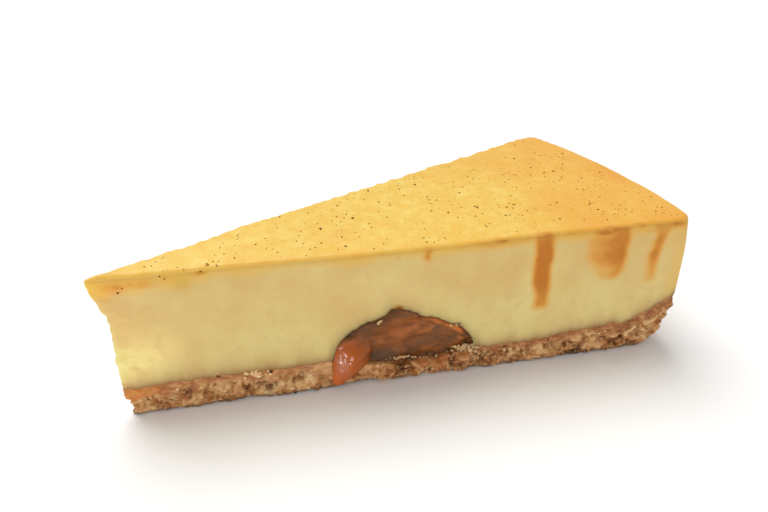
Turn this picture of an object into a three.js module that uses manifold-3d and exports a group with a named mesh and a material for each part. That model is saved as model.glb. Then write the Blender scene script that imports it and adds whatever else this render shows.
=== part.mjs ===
// A slice of baked cheesecake: a crumbly biscuit base, a set cream filling, a ring of soft
// caramel that runs through the filling and spills out of the front cut, and a thin golden
// glaze with drips. Lengths are millimetres and +Z is up.
//
// The slice is worked out around the centre of the whole cake, which is the point of the
// wedge. A point is given by its distance from that centre, by which side it lies towards,
// and by its height. The front cut faces -Y, the back cut +Y and the outer rim +X.

import * as THREE from "three";
import { mergeVertices } from "three/addons/utils/BufferGeometryUtils.js";
import Module from "manifold-3d";

const wasm = await Module();
wasm.setup();

// Driving dimensions of the slice
const CAKE_RADIUS = 125;
const CUT_ANGLE = THREE.MathUtils.degToRad(27);
const HEIGHT = 33;
const BASE_HEIGHT = 7.1;
const GLAZE_THICKNESS = 1.5;
const CLEARANCE = 0.3;
const HALF_ANGLE = CUT_ANGLE / 2;
const TIP_X = -62.86;

// The point of the slice is blunt, and overhangs at the top
const TIP = { topSetback: 0.4, fillingSetback: 3.1, baseSetback: 3.8, overhangHeight: 9 };
// The outer wall: its two upright edges are rounded, and the tin rounded its foot
const RIM = { corner: 1.5, meltedCorner: 3.5, meltHeight: 9, footInset: 5.5, footHeight: 8 };
// The biscuit climbs the tin's wall, and is a little thinner past the caramel
const BASE = { climb: 6.3, climbWidth: 19, dip: 1.3, dipAt: 84, dipWidth: 10 };
// The caramel's arched section: distance of its crown from the centre, reach to each side
const CARAMEL = { crownAt: 59, inward: 13.4, outward: 17.9, archHeight: 10.6, peak: 1.3, floor: 4.6 };
// How far the caramel's two ends lie behind the cuts
const SUNK = { rim: 0.9, middle: 2.2 };

// Noise, the same at the same place on every run

function hash(i, j, k) {
  const s = Math.sin(i * 127.1 + j * 311.7 + k * 74.7) * 43758.5453;
  return s - Math.floor(s);
}

function smoothNoise(x, y, z) {
  const [i, j, k] = [Math.floor(x), Math.floor(y), Math.floor(z)];
  const ease = (t) => t * t * (3 - 2 * t);
  const [u, v, w] = [ease(x - i), ease(y - j), ease(z - k)];
  let sum = 0;
  for (let a = 0; a < 2; a++)
    for (let b = 0; b < 2; b++)
      for (let c = 0; c < 2; c++) {
        const weight = (a ? u : 1 - u) * (b ? v : 1 - v) * (c ? w : 1 - w);
        sum += weight * hash(i + a, j + b, k + c);
      }
  return 2 * sum - 1;
}

// Distance to the nearest of one random point in each unit cell: small on a crumb's crest
function crumbDistance(x, y, z) {
  const [i, j, k] = [Math.floor(x), Math.floor(y), Math.floor(z)];
  let nearest = 9;
  for (let a = -1; a < 2; a++)
    for (let b = -1; b < 2; b++)
      for (let c = -1; c < 2; c++) {
        const [p, q, r] = [i + a, j + b, k + c];
        const dx = p + hash(p, q, r) - x;
        const dy = q + hash(q, r, p + 7) - y;
        const dz = r + hash(r, p, q + 13) - z;
        nearest = Math.min(nearest, Math.hypot(dx, dy, dz));
      }
  return nearest;
}

const bell = (x, centre, width) => Math.exp(-(((x - centre) / width) ** 2));
const clamp01 = (t) => Math.min(1, Math.max(0, t));

// Outline of the wedge seen from above

function tipSetback(z) {
  if (z < BASE_HEIGHT - 3) return TIP.baseSetback;
  const t = clamp01((HEIGHT - z) / TIP.overhangHeight);
  return TIP.topSetback + (TIP.fillingSetback - TIP.topSetback) * t ** 1.15;
}

function rimRadius(z) {
  return CAKE_RADIUS - RIM.footInset * clamp01(1 - z / RIM.footHeight) ** 1.6;
}

function cornerRadius(z) {
  const melt = clamp01((z - HEIGHT + RIM.meltHeight) / RIM.meltHeight);
  return RIM.corner + (RIM.meltedCorner - RIM.corner) * melt ** 1.5;
}

// A closed loop of points at height z, moved inwards by inset: along the front cut to the rim,
// round the rim, back along the back cut, and round the tip. steps = { cut, rim, tip }.
function outline(z, inset, steps) {
  const tip = Math.max(tipSetback(z) / (1 / Math.sin(HALF_ANGLE) - 1) - inset, 0.1);
  const rim = rimRadius(z) - inset;
  const corner = Math.max(cornerRadius(z) - inset, 0.1);
  const tipCentre = (tip + inset) / Math.sin(HALF_ANGLE);
  const cornerCentre = rim - corner;
  const cornerAngle = HALF_ANGLE - Math.asin((inset + corner) / cornerCentre);
  const front = -Math.PI / 2 - HALF_ANGLE;
  const pointOn = (cx, cy, radius, angle) => ({
    x: cx + radius * Math.cos(angle),
    y: cy + radius * Math.sin(angle),
    nx: Math.cos(angle),
    ny: Math.sin(angle),
  });
  const cornerAt = [cornerCentre * Math.cos(cornerAngle), -cornerCentre * Math.sin(cornerAngle)];
  const cutStart = pointOn(tipCentre, 0, tip, front);
  const cutEnd = pointOn(...cornerAt, corner, front);
  const half = [];
  for (let i = 0; i < steps.cut; i++) {
    const t = i / steps.cut;
    const x = cutStart.x + (cutEnd.x - cutStart.x) * t;
    const y = cutStart.y + (cutEnd.y - cutStart.y) * t;
    half.push({ x, y, nx: cutStart.nx, ny: cutStart.ny });
  }
  // The corner's arc takes its share of the rim's steps, by length
  const turn = -cornerAngle - front;
  const cornerSteps = Math.max(2, Math.round((steps.rim * corner * turn) / (2 * rim * cornerAngle)));
  for (let i = 0; i < cornerSteps; i++)
    half.push(pointOn(...cornerAt, corner, front + (turn * i) / cornerSteps));
  const arcSteps = steps.rim / 2 - cornerSteps;
  for (let i = 0; i < arcSteps; i++)
    half.push(pointOn(0, 0, rim, -cornerAngle * (1 - i / arcSteps)));
  const mirrored = half.slice(1).reverse().map((p) => ({ x: p.x, y: -p.y, nx: p.nx, ny: -p.ny }));
  const far = { x: half[0].x, y: -half[0].y, nx: half[0].nx, ny: -half[0].ny };
  const loop = [...half, pointOn(0, 0, rim, 0), ...mirrored, far];
  for (let i = 1; i < steps.tip; i++)
    loop.push(pointOn(tipCentre, 0, tip, -front + ((2 * Math.PI + 2 * front) * i) / steps.tip));
  return loop;
}

// Heights of the surfaces between the layers

function baseTop(x, y) {
  const r = Math.hypot(x, y);
  const climb = clamp01((r - CAKE_RADIUS + BASE.climbWidth) / BASE.climbWidth) ** 2.2;
  const uneven = 0.35 * smoothNoise(x / 7, y / 7, 3) + 0.25 * smoothNoise(x / 2.6, y / 2.6, 8);
  const climbHere = BASE.climb * (1 + 0.2 * smoothNoise(y / 9, 1, 5));
  return BASE_HEIGHT - BASE.dip * bell(r, BASE.dipAt, BASE.dipWidth) + climbHere * climb + uneven;
}

// The top of the slice is a little higher along the back cut and sags along the front one
function crown(x, y) {
  const side = Math.atan2(y, x) / HALF_ANGLE;
  return 0.5 * side * bell(Math.hypot(x, y), 50, 40);
}

// Reliefs, each a distance along the wall's outward normal

// The biscuit broke most under the caramel
function crumbRelief(x, y, z) {
  const lumps = 0.55 - crumbDistance(x / 3.4, y / 3.4, z / 2.7);
  const broken = smoothNoise(x / 9, y / 9, z / 4);
  return (1.9 * lumps + 0.7 * broken) * (1 + 0.4 * bell(Math.hypot(x, y), 66, 14)) - 0.15;
}

function cutRelief(x, y, z) {
  return 0.3 * smoothNoise(x / 22, y / 22, z / 16) + 0.1 * smoothNoise(x / 5, y / 5, z / 12);
}

// Meshes

function surface(points, index) {
  return new THREE.BufferGeometry()
    .setAttribute("position", new THREE.Float32BufferAttribute(points.flat(), 3))
    .setIndex(index);
}

// Triangles between each loop of n points and the next one
function sides(loops, n) {
  const index = [];
  for (let a = 0; a < (loops - 1) * n; a++) {
    const b = a + 1 - ((a + 1) % n ? 0 : n);
    index.push(a, b, b + n, a, b + n, a + n);
  }
  return index;
}

// Lofts loops of equally many points, the lowest first, and caps the first and the last one
function loft(loops) {
  const n = loops[0].length;
  const index = sides(loops.length, n);
  const flat = (loop) => loop.map(([x, y]) => new THREE.Vector2(x, y));
  for (const [a, b, c] of THREE.ShapeUtils.triangulateShape(flat(loops[0]), [])) index.push(a, c, b);
  const top = (loops.length - 1) * n;
  for (const [a, b, c] of THREE.ShapeUtils.triangulateShape(flat(loops.at(-1)), []))
    index.push(top + a, top + b, top + c);
  return surface(loops.flat(), index);
}

function solid(geometry) {
  const bare = geometry.clone();
  bare.deleteAttribute("normal");
  bare.deleteAttribute("uv");
  const merged = mergeVertices(bare, 1e-4);
  return new wasm.Manifold(
    new wasm.Mesh({
      numProp: 3,
      vertProperties: merged.attributes.position.array,
      triVerts: new Uint32Array(merged.index.array),
    }),
  );
}

// Lofts upright or slanting sections, each anticlockwise seen from where the last one looks,
// and closes both ends by a fan from the section's middle.
function solidThrough(sections) {
  const n = sections[0].length;
  const middle = (loop) => [0, 1, 2].map((axis) => loop.reduce((sum, p) => sum + p[axis], 0) / n);
  const index = sides(sections.length, n);
  const [firstHub, lastHub] = [sections.length * n, sections.length * n + 1];
  const lastStart = (sections.length - 1) * n;
  for (let i = 0; i < n; i++) {
    const next = (i + 1) % n;
    index.push(firstHub, next, i, lastHub, lastStart + i, lastStart + next);
  }
  return solid(surface([...sections.flat(), middle(sections[0]), middle(sections.at(-1))], index));
}

function largestPiece(shape) {
  return shape.decompose().sort((a, b) => b.volume() - a.volume())[0];
}

function mesh(name, shape, colour, roughness) {
  const { vertProperties, triVerts } = largestPiece(shape).getMesh();
  const geometry = new THREE.BufferGeometry()
    .setAttribute("position", new THREE.BufferAttribute(vertProperties, 3))
    .setIndex(new THREE.BufferAttribute(triVerts, 1));
  const material = new THREE.MeshStandardMaterial({ color: colour, roughness, metalness: 0 });
  const made = new THREE.Mesh(geometry, material);
  made.name = name;
  return made;
}

// A wall loop: the outline at each point's own height, pushed out by a relief
function wallLoop(steps, inset, heightAt, relief = () => 0, size = 1) {
  return outline(BASE_HEIGHT, 0, steps).map((guide, i) => {
    const z = heightAt(guide.x, guide.y);
    const p = outline(z, inset, steps)[i];
    const push = size * relief(p.x, p.y, z);
    return [p.x + push * p.nx, p.y + push * p.ny, z];
  });
}

// Biscuit base

const LAYER_STEPS = { cut: 80, rim: 38, tip: 3 };
// How far inside the walls the uneven seam between base and filling levels out
const SEAM = { inset: 2.5, level: 6 };

// Height of the seam at one inset from the walls: as uneven as baseTop at the wall itself,
// flat further in
function seamHeight(inset) {
  const share = 1 - inset / SEAM.level;
  return (x, y) => BASE_HEIGHT + (baseTop(x, y) - BASE_HEIGHT) * share ** 1.5;
}

// The seam's three loops from the wall inwards, moved up or down by offset
function seamLoops(offset) {
  return [0.1, SEAM.inset, SEAM.level].map((inset) => {
    const height = seamHeight(inset);
    return wallLoop(LAYER_STEPS, inset, (x, y) => height(x, y) + offset);
  });
}

function makeBase() {
  const top = (x, y) => baseTop(x, y) - CLEARANCE / 2;
  const foot = outline(0, 0, LAYER_STEPS).map(({ x, y, nx, ny }) => {
    const inset = 0.9 + 0.5 * smoothNoise(x / 4, y / 4, 2);
    return [x - inset * nx, y - inset * ny, 0];
  });
  const walls = [0.07, 0.24, 0.42, 0.6, 0.78, 0.92].map((share) => {
    const size = 1 - 0.8 * Math.abs(share - 0.45);
    return wallLoop(LAYER_STEPS, 0.25, (x, y) => share * top(x, y), crumbRelief, size);
  });
  return solid(loft([foot, ...walls, ...seamLoops(-CLEARANCE / 2)]));
}

// Filling

function makeFilling() {
  const floor = (x, y) => baseTop(x, y) + CLEARANCE / 2;
  const ceiling = HEIGHT - GLAZE_THICKNESS - CLEARANCE;
  const walls = [0.07, 0.33, 0.6, 0.82, 1].map((share) => {
    const height = (x, y) => floor(x, y) + share * (ceiling - floor(x, y));
    return wallLoop(LAYER_STEPS, 0.05, height, cutRelief);
  });
  return solid(loft([...seamLoops(CLEARANCE / 2).reverse(), ...walls]));
}

// Caramel

// How far the arch wanders outwards, at a share side of the way from the front cut, -1, to
// the back cut, +1
const drift = (side) => 1.6 * Math.sin(1.9 * (side + 1));

function archTop(r, side) {
  const across = r - CARAMEL.crownAt - drift(side);
  const t = across < 0 ? -across / CARAMEL.inward : across / CARAMEL.outward;
  const fall = across < 0 ? Math.sqrt(clamp01(1 - t * t)) : clamp01(1 - t ** 2.6);
  const swell = 1 + 0.06 * Math.sin(4.1 * (side + 1));
  return BASE_HEIGHT + swell * (CARAMEL.archHeight * fall + CARAMEL.peak * bell(across, 0, 2.6));
}

function archFloor(r) {
  const pits = 0.5 * smoothNoise(r / 3, 2, 6);
  return CARAMEL.floor + pits + 1.2 * bell(r, CARAMEL.crownAt + CARAMEL.outward, 5);
}

// A point at distance r from the centre, height z and share side between the cuts,
// moved along the front or back cut's outward normal by push
function onCut(r, z, side, push = 0) {
  const angle = side * HALF_ANGLE;
  const outward = side < 0 ? -1 : 1;
  return [
    r * Math.cos(angle) - push * Math.sin(HALF_ANGLE),
    r * Math.sin(angle) + outward * push * Math.cos(HALF_ANGLE),
    z,
  ];
}

// A closed loop of [r, z] points, given anticlockwise, with its edges moved outwards by margin
function grow(loop, margin) {
  const normal = ([r0, z0], [r1, z1]) => {
    const length = Math.hypot(r1 - r0, z1 - z0);
    return [(z1 - z0) / length, (r0 - r1) / length];
  };
  return loop.map((point, i) => {
    const [a, b] = [normal(loop.at(i - 1), point), normal(point, loop[(i + 1) % loop.length])];
    const scale = margin / (1 + a[0] * b[0] + a[1] * b[1]);
    return [point[0] + scale * (a[0] + b[0]), point[1] + scale * (a[1] + b[1])];
  });
}

// One section of the caramel, grown by margin, moved out of its cut by push and scaled
// about its middle by size. It goes round anticlockwise seen from the front.
function caramelSection(side, margin, push = 0, size = 1) {
  const steps = 18;
  const centre = CARAMEL.crownAt + drift(side);
  const [inner, outer] = [centre - CARAMEL.inward, centre + CARAMEL.outward];
  const middle = [(inner + outer) / 2, BASE_HEIGHT + 3];
  const radii = Array.from({ length: steps + 1 }, (_, i) => {
    return inner + ((outer - inner) * (1 - Math.cos((Math.PI * i) / steps))) / 2;
  });
  const under = radii.map((r) => [r, archFloor(r)]);
  const over = radii.map((r) => [r, archTop(r, side)]).reverse();
  return grow([...under, ...over], margin).map(([r, z]) =>
    onCut(middle[0] + (r - middle[0]) * size, middle[1] + (z - middle[1]) * size, side, push),
  );
}

// Sections between the two cuts, from the back to the front
function sectionsBetween(margin) {
  return [0.72, 0.4, 0, -0.4, -0.72].map((side) => caramelSection(side, margin));
}

// The caramel's length of ring, with both ends hollowed where it has sunk back
function caramelRing() {
  const end = (side) => [
    caramelSection(side, 0, -SUNK.middle, 0.55),
    caramelSection(side, 0, -SUNK.rim - 0.5, 0.85),
    caramelSection(side, 0, -SUNK.rim),
  ];
  return solidThrough([...end(1), ...sectionsBetween(0), ...end(-1).reverse()]);
}

// The room the ring lies in: a little wider all round, and open past both cuts
function caramelRoom() {
  const past = 4;
  const end = (side) => [caramelSection(side, CLEARANCE, past), caramelSection(side, CLEARANCE)];
  return solidThrough([...end(1), ...sectionsBetween(CLEARANCE), ...end(-1).reverse()]);
}

// A run of sauce down the front cut: an oval section carried down its centre line. place,
// halfWidth and reach give the section's distance from the cake's centre, half its width
// and how far it stands out of the cut, at a share of the way down.
function frontRun({ place, halfWidth, reach, depth, topZ, endZ, levels }, margin) {
  const around = 12;
  const sections = Array.from({ length: levels + 1 }, (_, k) => {
    const t = k / levels;
    const z = topZ + margin + (endZ - topZ - 2 * margin) * t;
    return Array.from({ length: around }, (_, i) => {
      const angle = (2 * Math.PI * i) / around;
      const out = Math.sin(angle);
      const push = out * ((out > 0 ? reach(t) : depth) + margin);
      return onCut(place(t) + (halfWidth(t) + margin) * Math.cos(angle), z, -1, push);
    });
  });
  return solidThrough(sections);
}

// The caramel that has run out at the tip's side of its arch, over the biscuit to its foot
function caramelFlow(margin) {
  return frontRun(
    {
      place: (t) => 49.6 - 0.9 * t,
      halfWidth: (t) => 0.4 + 3.6 * Math.sqrt(1 - clamp01(1 - 2.1 * t) ** 2) - 0.6 * t ** 3,
      reach: (t) => 0.3 + 1.5 * Math.sin(Math.PI * Math.min(1, 0.05 + 0.85 * t)),
      depth: 2.6,
      topZ: 12.8,
      endZ: 0.6,
      levels: 10,
    },
    margin,
  );
}

// Glaze

// Drips on the front cut: their distance from the cake's centre at the top and at the end,
// the height of the end, the width of the run, and how much wider the bead at its end is
const DRIPS = [
  { from: 90.6, to: 91, endZ: 14.2, width: 3.4, endWidth: 3.4, bead: 0.7 },
  { from: 105.4, to: 106.6, endZ: 19.8, width: 10.4, endWidth: 5.4, bead: 0.2 },
  { from: 117, to: 115.6, endZ: 18.2, width: 4.2, endWidth: 2.2, bead: 0.5 },
  { from: 64.8, to: 64.9, endZ: 27.6, width: 1.3, endWidth: 1.1, bead: 0.8 },
  { from: 6.8, to: 5.4, endZ: 26.8, width: 4.6, endWidth: 3.4, bead: 0.3 },
];

// Each drip widens into the glaze's edge and ends round
function glazeDrip({ from, to, endZ, width, endWidth, bead }, margin) {
  const rounding = (t) => Math.sqrt(1 - 0.9 * clamp01((t - 0.84) / 0.16) ** 2);
  const wide = (t) => width + (endWidth - width) * t + bead * bell(t, 0.82, 0.16);
  const flare = (t) => 2.4 * clamp01(1 - t / 0.3) ** 2;
  return frontRun(
    {
      place: (t) => from + (to - from) * t + 0.25 * Math.sin(6 * t),
      halfWidth: (t) => ((wide(t) + flare(t)) / 2) * rounding(t),
      reach: (t) => (0.32 + 0.16 * bell(t, 0.82, 0.2)) * rounding(t),
      depth: 0.5,
      topZ: HEIGHT - 1.1,
      endZ,
      levels: 8,
    },
    margin,
  );
}

const GLAZE_STEPS = { cut: 60, rim: 30, tip: 3 };

function makeGlaze() {
  const steps = GLAZE_STEPS;
  const over = (x, y) => HEIGHT + crown(x, y);
  const edge = (inset, drop) => wallLoop(steps, inset, (x, y) => over(x, y) - drop, cutRelief, 0.5);
  const sheet = solid(
    loft([
      wallLoop(steps, 0.25, () => HEIGHT - GLAZE_THICKNESS, cutRelief, 0.5),
      edge(0.05, 1),
      edge(0.3, 0.4),
      edge(1.1, 0.02),
      wallLoop(steps, 6, over),
      wallLoop(steps, 14, () => HEIGHT),
    ]),
  );
  return DRIPS.reduce((all, drip) => all.add(glazeDrip(drip, 0)), sheet);
}

// The largest specks of vanilla, half sunk in the glaze, at random places on the top
function addSpecks(glaze) {
  const count = 42;
  let made = glaze;
  for (let i = 0; i < count; i++) {
    const r = 12 + (CAKE_RADIUS - 16) * Math.sqrt(hash(i, 1, 4));
    const angle = HALF_ANGLE * 0.86 * (2 * hash(i, 2, 9) - 1);
    const size = 0.35 + 0.25 * hash(i, 3, 2);
    const speck = new THREE.OctahedronGeometry(size).scale(1.3, 1, 0.8);
    speck.rotateZ(Math.PI * hash(i, 5, 5));
    const [x, y] = [r * Math.cos(angle), r * Math.sin(angle)];
    speck.translate(x, y, HEIGHT + crown(x, y) - 0.05);
    made = made.add(solid(speck));
  }
  return made;
}

// The slice

const ringRoom = caramelRoom();
const flowRoom = caramelFlow(CLEARANCE);
const dripRoom = DRIPS.map((drip) => glazeDrip(drip, CLEARANCE));

const base = makeBase().subtract(ringRoom).subtract(flowRoom);
const filling = dripRoom.reduce((rest, room) => rest.subtract(room), makeFilling())
  .subtract(ringRoom)
  .subtract(flowRoom);
const caramel = caramelRing().add(caramelFlow(0));
const glaze = addSpecks(makeGlaze());

const slice = new THREE.Group();
slice.add(
  mesh("biscuit_base", base, "#a06a40", 0.9),
  mesh("filling", filling, "#ecd996", 0.55),
  mesh("caramel", caramel, "#8a4a22", 0.25),
  mesh("glaze", glaze, "#f6cd60", 0.35),
);
slice.position.x = TIP_X;

export default slice;
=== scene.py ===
"""Looks of a slice of baked cheesecake.

The slice stands on a biscuit base. Its cream filling holds a ring of soft caramel that has
sunk back behind both cuts and run out of the front one, and a thin golden glaze with vanilla
specks covers the top and drips down the front cut.

Shapes are worked out in millimetres around the centre of the whole cake, which is the point of
the wedge, and are moved to the frame's place and turned to metres when a mesh is made. A place
on the slice is often given by r, its distance from that centre, by side, the share of the way
from the front cut, -1, to the back cut, +1, and by its height z.
"""

import logging
import math
from dataclasses import dataclass, field
from enum import Enum
from typing import Callable

import bpy
import numpy as np
from mathutils import Matrix, Vector


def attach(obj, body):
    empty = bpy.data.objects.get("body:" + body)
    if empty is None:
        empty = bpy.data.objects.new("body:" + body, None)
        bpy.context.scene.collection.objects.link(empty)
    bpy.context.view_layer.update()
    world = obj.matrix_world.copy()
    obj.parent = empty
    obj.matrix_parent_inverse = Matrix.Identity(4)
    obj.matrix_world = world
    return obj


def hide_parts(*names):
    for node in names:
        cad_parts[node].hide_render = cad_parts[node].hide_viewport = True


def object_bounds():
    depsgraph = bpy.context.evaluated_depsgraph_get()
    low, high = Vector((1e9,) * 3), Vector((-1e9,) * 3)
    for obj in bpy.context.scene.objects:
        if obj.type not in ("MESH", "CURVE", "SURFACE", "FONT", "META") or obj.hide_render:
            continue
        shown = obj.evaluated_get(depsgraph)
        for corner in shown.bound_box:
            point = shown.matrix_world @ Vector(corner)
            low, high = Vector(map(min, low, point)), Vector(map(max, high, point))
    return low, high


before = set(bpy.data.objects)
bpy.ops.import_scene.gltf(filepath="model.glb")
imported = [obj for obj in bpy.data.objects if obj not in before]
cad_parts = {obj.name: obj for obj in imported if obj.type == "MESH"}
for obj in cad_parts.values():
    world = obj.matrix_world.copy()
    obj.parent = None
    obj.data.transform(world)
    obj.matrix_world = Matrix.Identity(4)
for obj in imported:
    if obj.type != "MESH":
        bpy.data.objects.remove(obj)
CAD_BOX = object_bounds()

MM = 0.001
LOG = logging.getLogger("cheesecake")
Array = np.ndarray
Socket = bpy.types.NodeSocket


class Stretch(Enum):
    """The stretches of the wedge's outline, in the order in which it is walked."""

    CUT = 0
    CORNER = 1
    RIM = 2
    TIP = 3


def bell(x: Array, centre: float, width: float) -> Array:
    """Gaussian bump of height 1: exp(-((x - centre) / width) squared)."""
    return np.exp(-(((x - centre) / width) ** 2))


def ramp(x: Array, low: float, high: float) -> Array:
    """Smooth step from 0 at low to 1 at high: 3 t squared less 2 t cubed, t held in 0 to 1."""
    t = np.clip((x - low) / (high - low), 0.0, 1.0)
    return t * t * (3.0 - 2.0 * t)


def hash_unit(i: Array, j: Array, k: Array) -> Array:
    """Pseudo-random number from 0 to 1 of three whole numbers: a large sine's fraction."""
    value = np.sin(i * 127.1 + j * 311.7 + k * 74.7) * 43758.5453
    return value - np.floor(value)


def smooth_noise(x: Array, y: Array, z: Array) -> Array:
    """Value noise from -1 to 1: random numbers at whole coordinates, eased in between.

    Args:
        x: First coordinate, in cells.
        y: Second coordinate.
        z: Third coordinate.

    Returns:
        The noise at each place.
    """
    x, y, z = np.broadcast_arrays(x, y, z)
    i, j, k = np.floor(x), np.floor(y), np.floor(z)
    u, v, w = (ramp(a, 0.0, 1.0) for a in (x - i, y - j, z - k))
    total = np.zeros(x.shape)
    for a in (0, 1):
        for b in (0, 1):
            for c in (0, 1):
                weight = (u if a else 1 - u) * (v if b else 1 - v) * (w if c else 1 - w)
                total += weight * hash_unit(i + a, j + b, k + c)
    return 2.0 * total - 1.0


def crumb_distance(x: Array, y: Array, z: Array) -> Array:
    """Distance to the nearest of one random point in each unit cell, the 27 nearest searched.

    Args:
        x: First coordinate, in cells.
        y: Second coordinate.
        z: Third coordinate.

    Returns:
        The distance at each place, in cells.
    """
    x, y, z = np.broadcast_arrays(x, y, z)
    i, j, k = np.floor(x), np.floor(y), np.floor(z)
    nearest = np.full(x.shape, 9.0)
    for a in (-1, 0, 1):
        for b in (-1, 0, 1):
            for c in (-1, 0, 1):
                p, q, s = i + a, j + b, k + c
                dx = p + hash_unit(p, q, s) - x
                dy = q + hash_unit(q, s, p + 7) - y
                dz = s + hash_unit(s, p, q + 13) - z
                nearest = np.minimum(nearest, np.sqrt(dx * dx + dy * dy + dz * dz))
    return nearest


@dataclass(frozen=True)
class Columns:
    """Places along the wedge's closed outline, anticlockwise from the front cut's start.

    half counts the places before the middle of the rim, and across the steps round the tip,
    which is also how many steps a flat grid over the wedge has from cut to cut.
    """

    stretch: Array
    share: Array
    mirror: Array
    half: int
    across: int

    @classmethod
    def spread(cls, cut: Array, corner: int, rim: int, across: int) -> "Columns":
        """Lays out the places.

        Args:
            cut: Shares of the way along a cut, from 0 up to but without 1.
            corner: Places round each upright corner.
            rim: Places from a corner to the middle of the rim.
            across: Steps round the tip.

        Returns:
            The places of the front half, the rim's middle, the back half and the tip.
        """
        kinds = np.repeat(
            [Stretch.CUT.value, Stretch.CORNER.value, Stretch.RIM.value], [len(cut), corner, rim]
        )
        shares = np.concatenate([cut, np.arange(corner) / corner, np.arange(rim) / rim])
        round_tip = np.arange(1, across) / across
        tip_kind = np.full(across - 1, Stretch.TIP.value)
        return cls(
            np.concatenate([kinds, [Stretch.RIM.value], kinds[::-1], tip_kind]),
            np.concatenate([shares, [1.0], shares[::-1], round_tip]),
            np.concatenate([np.ones(len(kinds) + 1), -np.ones(len(kinds)), np.ones(across - 1)]),
            len(kinds),
            across,
        )


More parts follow.
